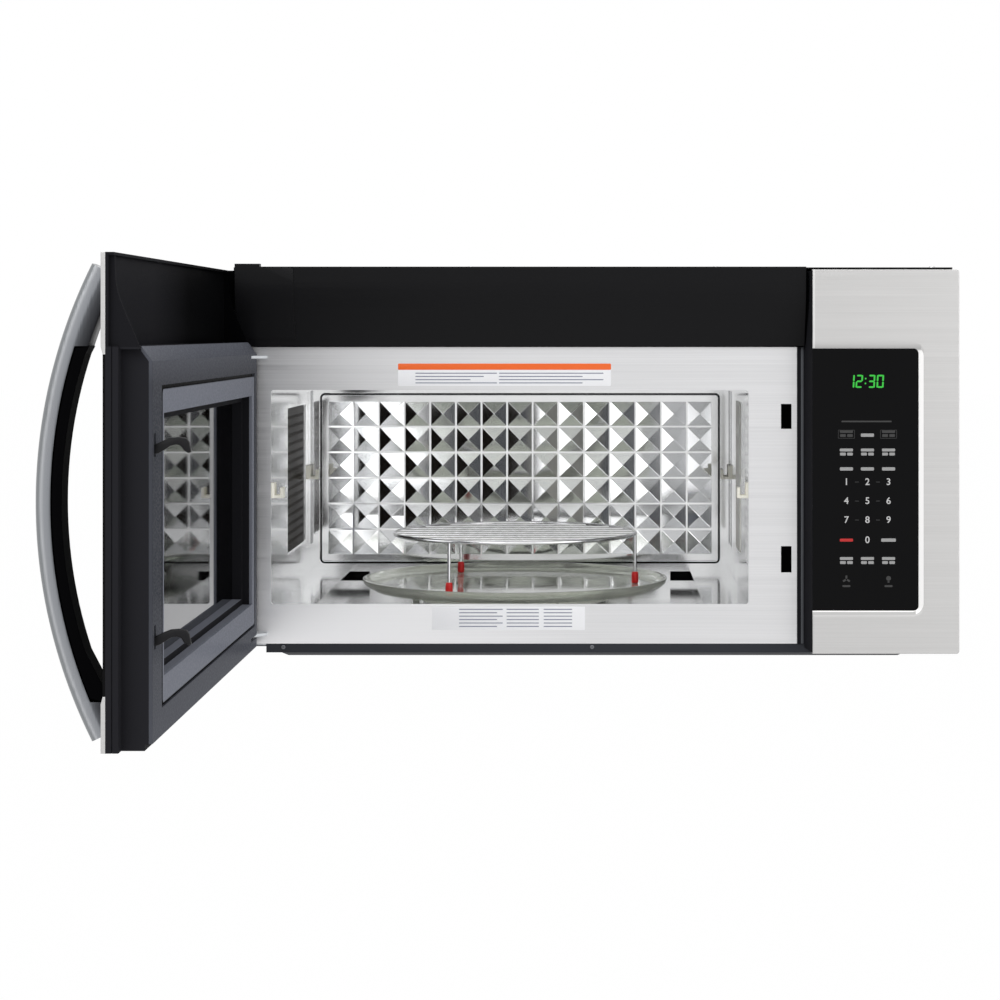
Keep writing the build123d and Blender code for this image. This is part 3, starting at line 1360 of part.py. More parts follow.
def strip_profile():
    """The handle's black inner strip, in the sketch being drawn."""
    handle_profile()
    with Locations((handle_y + handle_outer_radius, handle_mid_z)):
        Circle(handle_outer_radius - handle_metal, mode=Mode.INTERSECT)
    with Locations((handle_y, (handle_strip_top + handle_strip_bottom) / 2)):
        Rectangle(4 * handle_reach, handle_strip_top - handle_strip_bottom, mode=Mode.INTERSECT)


handle_plane = Plane.YZ.offset(handle_x - handle_width / 2)
handle_edge = 4.0

with BuildPart() as handle_strip:
    with BuildSketch(handle_plane) as strip_face:
        strip_profile()
    extrude(amount=handle_width)
handle_strip.part.label = "handle_strip"
export_step(open_door(handle_strip), "parts/handle_strip.step")

with BuildPart() as handle_bar:
    with BuildSketch(handle_plane):
        handle_profile()
    extrude(amount=handle_width)
    outer_arcs = handle_bar.edges().filter_by(GeomType.CIRCLE).sort_by(SortBy.RADIUS)[-2:]
    fillet(outer_arcs, handle_edge)
    add(handle_strip.part, mode=Mode.SUBTRACT)
handle_bar.part.label = "handle_bar"
export_step(open_door(handle_bar), "parts/handle_bar.step")
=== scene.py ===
"""Looks for the over the range microwave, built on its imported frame.

Metres, in the frame of the CAD: +X to the right seen from the front, the front faces -Y, +Z is up,
and the origin is the centre of the rear panel. The door stands open.
"""

import json
import math
import sys

import bmesh
import bpy
from mathutils import Matrix, Vector
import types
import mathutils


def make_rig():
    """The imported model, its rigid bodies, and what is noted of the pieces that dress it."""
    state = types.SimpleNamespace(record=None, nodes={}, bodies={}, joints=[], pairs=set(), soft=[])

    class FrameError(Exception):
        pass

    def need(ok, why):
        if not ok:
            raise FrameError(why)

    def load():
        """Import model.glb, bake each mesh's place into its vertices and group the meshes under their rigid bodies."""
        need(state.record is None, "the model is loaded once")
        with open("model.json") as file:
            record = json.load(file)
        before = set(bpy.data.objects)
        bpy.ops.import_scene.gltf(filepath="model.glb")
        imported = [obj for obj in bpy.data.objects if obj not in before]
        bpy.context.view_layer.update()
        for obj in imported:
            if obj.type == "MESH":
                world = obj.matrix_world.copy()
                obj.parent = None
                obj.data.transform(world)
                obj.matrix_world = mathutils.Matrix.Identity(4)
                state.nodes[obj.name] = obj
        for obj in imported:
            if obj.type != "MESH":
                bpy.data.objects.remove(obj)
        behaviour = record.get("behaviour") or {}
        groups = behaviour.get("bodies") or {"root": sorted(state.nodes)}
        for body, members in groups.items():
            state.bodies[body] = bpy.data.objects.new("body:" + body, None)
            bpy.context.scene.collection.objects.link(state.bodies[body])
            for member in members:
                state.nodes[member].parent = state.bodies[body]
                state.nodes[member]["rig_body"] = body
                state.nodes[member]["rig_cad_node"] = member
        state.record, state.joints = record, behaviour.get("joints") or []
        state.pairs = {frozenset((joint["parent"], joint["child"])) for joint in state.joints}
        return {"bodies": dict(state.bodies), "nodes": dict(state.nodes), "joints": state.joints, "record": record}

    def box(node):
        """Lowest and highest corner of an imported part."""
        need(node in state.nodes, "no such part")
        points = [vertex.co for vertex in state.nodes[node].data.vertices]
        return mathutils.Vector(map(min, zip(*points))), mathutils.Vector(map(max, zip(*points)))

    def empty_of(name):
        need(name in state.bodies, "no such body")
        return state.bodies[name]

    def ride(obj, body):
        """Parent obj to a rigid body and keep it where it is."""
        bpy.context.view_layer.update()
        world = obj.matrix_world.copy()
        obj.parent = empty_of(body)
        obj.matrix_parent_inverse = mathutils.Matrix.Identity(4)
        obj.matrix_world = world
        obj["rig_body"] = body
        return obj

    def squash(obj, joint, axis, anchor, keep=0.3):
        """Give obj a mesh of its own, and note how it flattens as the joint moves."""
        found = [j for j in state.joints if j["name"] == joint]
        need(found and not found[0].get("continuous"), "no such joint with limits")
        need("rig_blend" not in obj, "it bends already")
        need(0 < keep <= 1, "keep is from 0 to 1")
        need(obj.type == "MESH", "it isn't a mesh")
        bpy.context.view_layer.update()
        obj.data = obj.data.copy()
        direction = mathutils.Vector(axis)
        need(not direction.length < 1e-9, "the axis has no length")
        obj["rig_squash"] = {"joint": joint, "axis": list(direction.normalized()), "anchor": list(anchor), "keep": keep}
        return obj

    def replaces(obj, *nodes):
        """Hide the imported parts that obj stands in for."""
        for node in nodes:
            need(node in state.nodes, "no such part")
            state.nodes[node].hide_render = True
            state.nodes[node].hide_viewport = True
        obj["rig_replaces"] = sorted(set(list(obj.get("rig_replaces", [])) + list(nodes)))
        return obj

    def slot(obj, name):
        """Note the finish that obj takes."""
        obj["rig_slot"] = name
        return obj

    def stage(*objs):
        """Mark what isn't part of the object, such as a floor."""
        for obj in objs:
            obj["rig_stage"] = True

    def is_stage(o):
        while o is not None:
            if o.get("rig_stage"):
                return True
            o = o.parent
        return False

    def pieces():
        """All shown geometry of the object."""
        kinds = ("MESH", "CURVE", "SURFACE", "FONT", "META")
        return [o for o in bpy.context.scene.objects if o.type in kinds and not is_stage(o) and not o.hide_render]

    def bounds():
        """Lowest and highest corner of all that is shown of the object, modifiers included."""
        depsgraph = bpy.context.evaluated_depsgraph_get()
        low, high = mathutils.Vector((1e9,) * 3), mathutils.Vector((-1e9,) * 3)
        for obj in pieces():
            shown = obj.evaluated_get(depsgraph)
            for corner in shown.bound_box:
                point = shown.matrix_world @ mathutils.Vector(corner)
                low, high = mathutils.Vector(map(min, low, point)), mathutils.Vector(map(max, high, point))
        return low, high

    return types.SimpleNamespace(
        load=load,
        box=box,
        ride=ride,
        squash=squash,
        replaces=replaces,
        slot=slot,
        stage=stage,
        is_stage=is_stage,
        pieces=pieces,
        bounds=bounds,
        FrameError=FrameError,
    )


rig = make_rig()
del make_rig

bl_info = {
    "name": "Over the Range Microwave Looks",
    "version": (1, 0, 0),
    "blender": (4, 5, 0),
    "location": "View3D > Sidebar > Microwave",
    "description": "Finishes and fine pieces of an over the range microwave with its door open",
    "category": "Object",
}

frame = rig.load()
NODES = frame["nodes"]
CAD_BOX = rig.bounds()
MM = 0.001

# Places and pitches that several pieces or finishes share, in metres
HINGE = Vector((-0.374, -0.396, 0.0))
PLATE_FACE = -0.372
GLASS_FACE = -0.4109
OVEN_X = -0.0877
TURNTABLE_Y = -0.194
TRAY_TOP = -0.1518
PYRAMID_PITCH = 0.0308
PYRAMIDS_Z = -0.0441
SCREEN_PITCH = 0.0024


# ---------------------------------------------------------------- sizes and colours a user may change
class MicrowaveSizes(bpy.types.PropertyGroup):
    """Sizes of the fine pieces, in metres."""

    grip_width: bpy.props.FloatProperty(
        name="Grip Width", description="Width of the bow handle", default=0.024, unit="LENGTH"
    )
    grip_depth: bpy.props.FloatProperty(
        name="Grip Depth",
        description="Thickness of the metal of the bow handle",
        default=0.0152,
        unit="LENGTH",
    )
    rack_wire: bpy.props.FloatProperty(
        name="Rack Wire", description="Radius of the rack's ring", default=0.00225, unit="LENGTH"
    )
    digit_height: bpy.props.FloatProperty(
        name="Digit Height", description="Height of the keypad's numbers", default=0.0072, unit="LENGTH"
    )
    clock_height: bpy.props.FloatProperty(
        name="Clock Height", description="Height of the clock's digits", default=0.0136, unit="LENGTH"
    )
    screw_head: bpy.props.FloatProperty(
        name="Screw Head", description="Radius of the case screws' heads", default=0.0036, unit="LENGTH"
    )


class MicrowaveColours(bpy.types.PropertyGroup):
    """Main colours of the microwave."""

    steel: bpy.props.FloatVectorProperty(
        name="Brushed Steel",
        description="Outer brushed steel",
        subtype="COLOR",
        size=3,
        default=(0.585, 0.58, 0.575),
    )
    plate: bpy.props.FloatVectorProperty(
        name="Front Plate",
        description="Satin steel round the oven",
        subtype="COLOR",
        size=3,
        default=(0.70, 0.70, 0.71),
    )
    oven: bpy.props.FloatVectorProperty(
        name="Oven Steel",
        description="Polished steel of the oven",
        subtype="COLOR",
        size=3,
        default=(0.77, 0.775, 0.78),
    )
    black: bpy.props.FloatVectorProperty(
        name="Black Plastic",
        description="Moulded black parts",
        subtype="COLOR",
        size=3,
        default=(0.006, 0.006, 0.007),
    )
    choke: bpy.props.FloatVectorProperty(
        name="Door Frame Paint",
        description="Blue-grey door frame",
        subtype="COLOR",
        size=3,
        default=(0.036, 0.038, 0.045),
    )
    foot: bpy.props.FloatVectorProperty(
        name="Rack Feet",
        description="Red rubber of the rack's feet",
        subtype="COLOR",
        size=3,
        default=(0.55, 0.012, 0.012),
    )
    clock: bpy.props.FloatVectorProperty(
        name="Clock Digits",
        description="Green of the clock",
        subtype="COLOR",
        size=3,
        default=(0.015, 0.56, 0.03),
    )
    legend: bpy.props.FloatVectorProperty(
        name="Keypad Print",
        description="Print on the keypad",
        subtype="COLOR",
        size=3,
        default=(0.56, 0.56, 0.56),
    )
    stop: bpy.props.FloatVectorProperty(
        name="Stop Mark",
        description="Red mark on the keypad",
        subtype="COLOR",
        size=3,
        default=(0.75, 0.02, 0.02),
    )


# ---------------------------------------------------------------- shader tools
class Wire:
    """An output socket whose arithmetic adds Math nodes to its material."""

    def __init__(self, tree, output):
        self.tree = tree
        self.output = output

    def math(self, operation, *terms):
        node = self.tree.nodes.new("ShaderNodeMath")
        node.operation = operation
        for place, term in enumerate(terms):
            feed(self.tree, node.inputs[place], term)
        return Wire(self.tree, node.outputs[0])

    def __add__(self, other):
        return self.math("ADD", self, other)

    def __sub__(self, other):
        return self.math("SUBTRACT", self, other)

    def __rsub__(self, other):
        return self.math("SUBTRACT", other, self)

    def __mul__(self, other):
        return self.math("MULTIPLY", self, other)

    def __abs__(self):
        return self.math("ABSOLUTE", self)

    def __gt__(self, other):
        return self.math("GREATER_THAN", self, other)

    def __lt__(self, other):
        return self.math("LESS_THAN", self, other)

    def __mod__(self, other):
        return self.math("FLOORED_MODULO", self, other)


def feed(tree, socket, value):
    """Links a wire to a socket, or sets the socket's own value."""
    if isinstance(value, Wire):
        tree.links.new(value.output, socket)
    elif socket.type == "RGBA" and len(value) == 3:
        socket.default_value = (*value, 1.0)
    else:
        socket.default_value = value


def seen_white(tree):
    """1 for rays that show the studio to the camera, straight or by a reflection or glass."""
    path = tree.nodes.new("ShaderNodeLightPath")
    seen = Wire(tree, path.outputs["Is Camera Ray"])
    glossy = Wire(tree, path.outputs["Is Glossy Ray"])
    through = Wire(tree, path.outputs["Is Transmission Ray"])
    return seen.math("MAXIMUM", seen, glossy.math("MAXIMUM", glossy, through))


class Finish:
    """A material being made: nodes by type, then one Principled shader."""

    def __init__(self, name):
        self.material = bpy.data.materials.new(name)
        self.material.use_nodes = True
        self.tree = self.material.node_tree
        self.tree.nodes.clear()

    def node(self, kind, settings=None, values=None, output=0):
        node = self.tree.nodes.new(kind)
        for key, value in (settings or {}).items():
            if key == "stops":
                ramp = node.color_ramp
                while len(ramp.elements) < len(value):
                    ramp.elements.new(0.5)
                for element, (place, colour) in zip(ramp.elements, value):
                    element.position = place
                    element.color = (*colour, 1.0)
            else:
                setattr(node, key, value)
        for key, value in (values or {}).items():
            feed(self.tree, node.inputs[key], value)
        return Wire(self.tree, node.outputs[output]) if node.outputs else None

    def spot(self, scale=(1.0, 1.0, 1.0), turn=(0.0, 0.0, 0.0)):
        """Object coordinates, scaled and turned."""
        where = self.node("ShaderNodeTexCoord", output="Object")
        values = {"Vector": where, "Scale": scale, "Rotation": turn}
        return self.node("ShaderNodeMapping", values=values)

    def axes(self, where=None):
        """The three coordinates as separate wires."""
        node = self.tree.nodes.new("ShaderNodeSeparateXYZ")
        feed(self.tree, node.inputs[0], where or self.spot())
        return [Wire(self.tree, output) for output in node.outputs]

    def geometry(self, output):
        """One of the surface's own measures, by name."""
        return self.node("ShaderNodeNewGeometry", output=output)

    def noise(self, scale, stretch=(1.0, 1.0, 1.0), detail=2.0, rough=0.5):
        values = {"Vector": self.spot(stretch), "Scale": scale, "Detail": detail, "Roughness": rough}
        return self.node("ShaderNodeTexNoise", values=values)

    def cells(self, scale, feature="F1", output=0, stretch=(1.0, 1.0, 1.0)):
        values = {"Vector": self.spot(stretch), "Scale": scale}
        return self.node("ShaderNodeTexVoronoi", {"feature": feature}, values, output)

    def span(self, value, low, high, out_low=0.0, out_high=1.0):
        """Value from low to high, spread over another range and held at its ends."""
        values = {0: value, 1: low, 2: high, 3: out_low, 4: out_high}
        return self.node("ShaderNodeMapRange", values=values)

    def mix(self, factor, first, second):
        """A colour between two colours."""
        return self.node("ShaderNodeMix", {"data_type": "RGBA"}, {0: factor, 6: first, 7: second}, 2)

    def rounded_box(self, first, second, centre, half, radius):
        """Distance outwards from a rounded rectangle drawn in two of the coordinates."""
        past = []
        for value, middle, size in zip((first, second), centre, half):
            out = abs(value - middle) - (size - radius)
            past.append(out.math("MAXIMUM", out, 0.0))
        total = past[0] * past[0] + past[1] * past[1]
        return total.math("SQRT", total) - radius

    def screen_holes(self, share):
        """1 in the round holes of the door's screen; their radius is a share of their pitch."""
        _, y, z = self.axes()
        across = abs((y % SCREEN_PITCH) - SCREEN_PITCH / 2)
        up = abs((z % SCREEN_PITCH) - SCREEN_PITCH / 2)
        return (across * across + up * up) < (SCREEN_PITCH * share) ** 2

    def edge(self, radius):
        """Normals that round the sharp edges by a small radius."""
        return self.node("ShaderNodeBevel", {"samples": 4}, {"Radius": radius})

    def bump(self, height, depth, strength=1.0, normal=None):
        values = {"Height": height, "Distance": depth, "Strength": strength}
        if normal:
            values["Normal"] = normal
        return self.node("ShaderNodeBump", values=values)

    def done(self, values):
        """Ends the material in a Principled shader with these sockets."""
        shader = self.node("ShaderNodeBsdfPrincipled", values=values)
        self.node("ShaderNodeOutputMaterial", values={"Surface": shader})
        return self.material


FINISHES = {}


def finish(name):
    """The material of that name, made the first time it is asked for."""
    if name not in FINISHES:
        FINISHES[name] = globals()["finish_" + name](Finish(name))
    return FINISHES[name]


def colours():
    return bpy.context.scene.microwave_colours


def sizes():
    return bpy.context.scene.microwave_sizes


def scaled(colour, factor):
    return tuple(channel * factor for channel in colour)


# ---------------------------------------------------------------- steels
BRUSHED_ALONG = (5.0, 5.0, 1400.0)
ROLLED_UPRIGHT = (700.0, 700.0, 6.0)


def brushed(paint, colour, stretch, rough, radius=0.0006, depth=0.00002, bands=()):
    """Steel with fine brushing lines along the axis that stretch leaves long, and bands of painted light and shade."""
    lines = paint.noise(1.0, stretch, detail=3.0, rough=0.6)
    coarse = paint.noise(0.3, stretch, detail=1.0)
    tone = paint.span(lines * 0.7 + coarse * 0.3, 0.3, 0.7)
    plain = paint.mix(tone, scaled(colour, 0.93), scaled(colour, 1.05))
    # Each band is a mask and a factor: painted light or painted shade laid on the steel's colour
    for mask, shade in bands:
        plain = paint.mix(mask, plain, scaled(colour, shade))
    values = {
        "Base Color": plain,
        "Metallic": 1.0,
        "Roughness": paint.span(lines, 0.3, 0.7, rough - 0.05, rough + 0.06),
        "Normal": paint.bump(lines, depth, 0.35, paint.edge(radius)),
    }
    return paint.done(values)


def finish_brushed_fascia(paint):
    """Control panel's steel, with light and shade painted on the bevel round its glass and painted highlights along its
    edges.
    """
    x, _, z = paint.axes()
    glass_middle, glass_half, glass_corner = (0.2780, -0.0217), (0.0602, 0.1357), 0.008
    glass_top, glass_bottom, glass_right = 0.1135, -0.1566, 0.3345
    reach = paint.rounded_box(x, z, glass_middle, glass_half, glass_corner)
    bevel, strong = 0.0044, 0.8
    ring = (reach > -0.0006) * (reach < bevel)
    above = paint.span(z, glass_top, glass_top + 0.006, 1.0, 0.0) * (z > glass_top) * (x < 0.3400)
    edge = (x < 0.2300) * (z > 0.1150) + (x > 0.3795)
    under = (reach < 0.0014) * (z < glass_bottom) * ring
    right = ring * (x > glass_right) * (z < glass_top - 0.001)
    below = ring * (z < glass_bottom - 0.0004)
    # Painted shade above and below the glass; painted highlights on the bevel's right and lower sides and along the
    # panel's edges
    bands = (
        (above * strong, 0.62),
        (below * strong, 0.80),
        (right, 1.55),
        (under, 1.5),
        (edge * strong, 1.30),
    )
    return brushed(paint, colours().steel, BRUSHED_ALONG, 0.34, 0.0012, bands=bands)


def finish_brushed_door(paint):
    return brushed(paint, scaled(colours().steel, 1.05), BRUSHED_ALONG, 0.32, 0.0008)


def finish_satin_plate(paint):
    """Front plate, with a painted highlight low on its hinge side."""
    x, _, z = paint.axes()
    # Painted highlight: the plate's colour raised low on the hinge side
    bright = paint.span(z, -0.08, -0.15) * paint.span(x, 0.0, -0.34)
    along_x = (4.0, 900.0, 900.0)
    return brushed(paint, colours().plate, along_x, 0.36, 0.0004, bands=((bright, 1.34),))


def finish_handle_metal(paint):
    """Brushed bow: bands of light and shade that follow its curve, dark towards the door."""
    x, _, z = paint.axes()
    centre_x, centre_z = -0.019, -0.0053
    outer_radius, inner_radius = 0.4300, 0.4055
    ahead, up = x - centre_x, z - centre_z
    square = ahead * ahead + up * up
    depth = paint.span(square.math("SQRT", square), outer_radius, inner_radius)
    streaks = paint.noise(1.0, (900.0, 900.0, 9.0), detail=3.0)
    stops = (
        (0.0, (0.27, 0.28, 0.29)),
        (0.14, (0.24, 0.25, 0.26)),
        (0.22, (0.45, 0.46, 0.48)),
        (0.30, (0.31, 0.32, 0.34)),
        (0.46, (0.26, 0.27, 0.29)),
        (0.54, (0.11, 0.115, 0.125)),
        (0.68, (0.06, 0.062, 0.068)),
        (1.0, (0.012, 0.012, 0.014)),
    )
    along = depth + (streaks - 0.5) * 0.10
    values = {
        "Base Color": paint.node("ShaderNodeValToRGB", {"stops": stops}, {0: along}),
        "Metallic": 1.0,
        "Roughness": paint.span(streaks, 0.3, 0.7, 0.26, 0.36),
        "Normal": paint.bump(streaks, 0.00002, 0.3),
    }
    return paint.done(values)


def oven_steel(paint, colour, rough, radius, rolling=ROLLED_UPRIGHT):
    """Polished pressed steel with faint rolling lines and dulled patches."""
    patches = paint.noise(14.0, detail=3.0)
    lines = paint.noise(1.0, rolling, detail=2.0)
    values = {
        "Base Color": paint.mix(paint.span(patches, 0.35, 0.7), colour, scaled(colour, 0.95)),
        "Metallic": 1.0,
        "Roughness": paint.span(patches * 0.6 + lines * 0.4, 0.3, 0.7, rough * 0.7, rough * 1.4),
        "Normal": paint.bump(lines, 0.00001, 0.12, paint.edge(radius)),
    }
    return paint.done(values)


def finish_oven_wall(paint):
    return oven_steel(paint, colours().oven, 0.13, 0.0008)


def finish_oven_back(paint):
    """Pressed rear wall: polished, with painted shade in the groove round its pyramids and painted light on the
    pyramids' left faces.
    """
    x, y, z = paint.axes()
    groove_middle, groove_half, wall_face = (OVEN_X, -0.0447), (0.2403, 0.1025), -0.0168
    reach = paint.rounded_box(x, z, groove_middle, groove_half, 0.006)
    groove = (abs(reach + 0.0013) < 0.0011) * (y > wall_face)
    patches = paint.noise(14.0, detail=3.0)
    plain = paint.mix(paint.span(patches, 0.35, 0.7), colours().oven, scaled(colours().oven, 0.93))
    across = ((x - OVEN_X) * (1 / PYRAMID_PITCH) + 0.5) % 1.0 - 0.5
    up = ((z - PYRAMIDS_Z) * (1 / PYRAMID_PITCH)) % 1.0 - 0.5
    # Painted light: the pyramids' left faces near the middle made near-white and less metallic
    left_face = ((across + abs(up)) < -0.02) * (abs(reach + 0.125) < 0.115)
    satin = left_face * paint.span(x, -0.06, 0.06)
    bright = paint.mix(satin, plain, (0.97, 0.97, 0.97))
    values = {
        # Painted shade: the groove round the pyramids made near-black
        "Base Color": paint.mix(groove, bright, (0.03, 0.03, 0.032)),
        "Metallic": 1.0 - satin * 0.75,
        "Roughness": paint.span(patches, 0.3, 0.7, 0.07, 0.15),
        "Normal": paint.bump(paint.noise(40.0), 0.00005, 0.2, paint.edge(0.0009)),
    }
    return paint.done(values)


def finish_vented_wall(paint):
    """Left wall: polished, with painted shade, dark brown and without sheen, over its recessed field of holes."""
    _, y, z = paint.axes()
    field_middle, field_half = (-0.140, -0.0355), (0.083, 0.081)
    heat_brown = (0.026, 0.021, 0.017)
    inside = paint.rounded_box(y, z, field_middle, field_half, 0.006) < 0.0
    lines = paint.noise(1.0, ROLLED_UPRIGHT)
    values = {
        # Painted shade: the recessed field of holes made dark brown and not metallic
        "Base Color": paint.mix(inside, colours().oven, heat_brown),
        "Metallic": 1.0 - inside,
        "Specular IOR Level": 0.001,
        "Roughness": paint.span(lines, 0.3, 0.7, 0.10, 0.19),
        "Normal": paint.bump(lines, 0.00001, 0.12, paint.edge(0.0008)),
    }
    return paint.done(values)


def finish_oven_floor(paint):
    return oven_steel(paint, colours().oven, 0.12, 0.0012, (6.0, 700.0, 700.0))


def zinc_spangle(paint):
    """The tone of each grain of the zinc, and the colour it gives."""
    tone = paint.axes(paint.cells(90.0, output=1))[0]
    return tone, paint.mix(tone, (0.42, 0.44, 0.46), (0.60, 0.62, 0.64))


def finish_galvanised(paint):
    """Zinc-coated sheet with its spangle."""
    tone, zinc = zinc_spangle(paint)
    values = {
        "Base Color": zinc,
        "Metallic": 0.9,
        "Roughness": paint.span(tone, 0.0, 1.0, 0.32, 0.52),
        "Normal": paint.bump(paint.noise(260.0), 0.00003, 0.3, paint.edge(0.0005)),
    }
    return paint.done(values)


def finish_lined_sheet(paint):
    """Zinc-coated sheet, with painted shade on its inner side: near-black and not metallic, seen through the oven's
    slots.
    """
    tone, zinc = zinc_spangle(paint)
    inner = paint.axes()[1] < -0.0004
    values = {
        # Painted shade: the inner side made near-black
        "Base Color": paint.mix(inner, zinc, (0.006, 0.006, 0.006)),
        "Metallic": (1.0 - inner) * 0.9,
        "Roughness": paint.span(tone, 0.0, 1.0, 0.36, 0.52),
        "Specular IOR Level": 0.05,
        "Normal": paint.bump(paint.noise(260.0), 0.00003, 0.3, paint.edge(0.0005)),
    }
    return paint.done(values)


def finish_aluminium(paint):
    grain = paint.noise(900.0, detail=2.0)
    values = {
        "Base Color": paint.mix(grain, (0.62, 0.63, 0.64), (0.74, 0.75, 0.76)),
        "Metallic": 1.0,
        "Roughness": paint.span(grain, 0.3, 0.7, 0.34, 0.5),
        "Normal": paint.bump(grain, 0.00003, 0.3, paint.edge(0.0005)),
    }
    return paint.done(values)


def finish_bright_wire(paint):
    dull = paint.noise(180.0, detail=2.0)
    values = {
        "Base Color": paint.mix(dull, (0.62, 0.62, 0.63), (0.75, 0.75, 0.76)),
        "Metallic": 1.0,
        "Roughness": paint.span(dull, 0.3, 0.7, 0.12, 0.26),
    }
    return paint.done(values)


def finish_filter_mesh(paint):
    """Layers of expanded aluminium mesh seen through the filter's frame."""
    heights = []
    for turn, pitch in ((0.55, 420.0), (-0.55, 420.0), (1.2, 250.0)):
        x = paint.axes(paint.spot((pitch, pitch, pitch), (0.0, 0.0, turn)))[0]
        heights.append(abs((x % 1.0) - 0.5) * 2.0)
    weave = heights[0].math("MAXIMUM", heights[0], heights[1])
    open_cell = paint.span(weave, 0.55, 0.85)
    values = {
        "Base Color": paint.mix(open_cell, (0.07, 0.07, 0.075), (0.66, 0.67, 0.68)),
        "Metallic": 1.0,
        "Roughness": paint.span(heights[2], 0.0, 1.0, 0.3, 0.5),
        "Normal": paint.bump(open_cell, 0.0006, 0.8),
    }
    return paint.done(values)


# ---------------------------------------------------------------- paints, plastics, glass
def moulded(paint, colour, rough, grain=1200.0, depth=0.00004, radius=0.0006, shine=0.25):
    """Moulded plastic with a fine spark texture and softened edges."""
    texture = paint.noise(grain, detail=2.0)
    cloud = paint.noise(9.0, detail=2.0)
    values = {
        "Base Color": paint.mix(cloud, colour, scaled(colour, 1.25)),
        "Roughness": paint.span(texture, 0.3, 0.7, rough - 0.05, rough + 0.07),
        "Specular IOR Level": shine,
        "Normal": paint.bump(texture, depth, 0.35, paint.edge(radius)),
    }
    return paint.done(values)


def finish_black_plastic(paint):
    return moulded(paint, colours().black, 0.42, radius=0.0008, shine=0.2)


def finish_hood_plastic(paint):
    return moulded(paint, scaled(colours().black, 0.75), 0.36, radius=0.0008, shine=0.12)


def finish_housing_plastic(paint):
    return moulded(paint, scaled(colours().black, 2.4), 0.5, radius=0.0006, shine=0.004)


def finish_door_plastic(paint):
    """Door's moulded frame, with light and shade painted in: greyer by the latch, painted shade under the hood, and a
    painted highlight on the window's upward-facing sill.
    """
    _, y, z = paint.axes()
    window_middle, window_half = (-0.679, -0.042), (0.257, 0.1105)
    hood_foot, latch_side = 0.120, -0.940
    window = paint.rounded_box(y, z, window_middle, window_half, 0.004) < 0.0
    up = paint.axes(paint.geometry("Normal"))[2]
    # Painted highlight on the sill's upward faces; painted shade under the hood; painted light, greyer, by the latch
    sill = window * (z < -0.100) * (up > 0.4)
    hood_shade = paint.span(y, -0.80, -0.62) * (z > hood_foot)
    shell = paint.mix(hood_shade, scaled(colours().black, 2.4), scaled(colours().black, 0.4))
    black = paint.mix((z < hood_foot) * (y < latch_side), shell, scaled(colours().black, 3.5))
    pale = scaled(colours().choke, 4.6)
    texture = paint.noise(1200.0)
    values = {
        "Base Color": paint.mix(sill, black, pale),
        "Roughness": paint.span(texture, 0.3, 0.7, 0.42, 0.54),
        "Specular IOR Level": 0.004,
        "Normal": paint.bump(texture, 0.00003, 0.3, paint.edge(0.0006)),
    }
    return paint.done(values)


def finish_handle_liner(paint):
    return moulded(paint, scaled(colours().black, 0.35), 0.42, radius=0.0012, shine=0.006)


def finish_choke_paint(paint):
    """Door's inner frame: blue-grey, with painted light making it lighter low and high, paler inside its sealing
    groove, and painted shade in the groove.
    """
    _, y, z = paint.axes()
    groove_middle, groove_half, groove_wide = (-0.6735, -0.043), (0.2685, 0.1315), 0.0032
    reach = paint.rounded_box(y, z, groove_middle, groove_half, 0.008)
    groove = abs(reach + groove_wide / 2) < groove_wide / 2
    band = paint.span(reach, -0.0040, -0.0030, 1.0, 0.0)
    texture = paint.noise(500.0)
    times = (1.75, 2.5, 4.2, 5.4, 5.7)
    middle, low, high, inside, grain = (scaled(colours().choke, factor) for factor in times)
    # Painted light: lighter towards the bottom and the top
    tone = paint.mix(paint.span(z, -0.08, -0.19), middle, low)
    tone = paint.mix(paint.span(z, 0.09, 0.14), tone, high)
    inner = paint.mix(band, tone, paint.mix(texture, inside, grain))
    values = {
        # Painted shade: the groove made near-black
        "Base Color": paint.mix(groove, inner, (0.002, 0.002, 0.002)),
        "Roughness": paint.span(texture, 0.3, 0.7, 0.24, 0.30),
        "Specular IOR Level": 0.0012,
        "Normal": paint.edge(0.0008),
    }
    return paint.done(values)


def finish_pan_paint(paint):
    return moulded(paint, (0.026, 0.028, 0.034), 0.38, 600.0, 0.00003, 0.001, 0.15)


def finish_dull_screw(paint):
    return moulded(paint, (0.16, 0.165, 0.18), 0.45, 900.0, 0.00003, 0.0004, 0.2)


def finish_gasket_grey(paint):
    return moulded(paint, (0.085, 0.09, 0.10), 0.5, 900.0, 0.00003, 0.0004, 0.2)


def finish_case_paint(paint):
    return moulded(paint, (0.016, 0.016, 0.018), 0.42, 520.0, 0.00006, 0.0008, 0.35)


def finish_screen_metal(paint):
    """Painted screen with its rows of fine holes."""
    values = {
        "Base Color": paint.mix(paint.screen_holes(0.36), (0.03, 0.03, 0.032), (0.002, 0.002, 0.002)),
        "Metallic": 0.4,
        "Roughness": 0.4,
    }
    return paint.done(values)


def finish_support_plastic(paint):
    return moulded(paint, (0.92, 0.90, 0.80), 0.4, 800.0, 0.00003, 0.0008, 0.4)


def finish_coupler_plastic(paint):
    return moulded(paint, (0.72, 0.72, 0.68), 0.4, 800.0, 0.00003, 0.0006, 0.4)


def finish_foot_rubber(paint):
    return moulded(paint, colours().foot, 0.45, 900.0, 0.00004, 0.0004, 0.4)


def finish_white_plastic(paint):
    return moulded(paint, (0.75, 0.75, 0.73), 0.42, 800.0, 0.00003, 0.0006, 0.4)


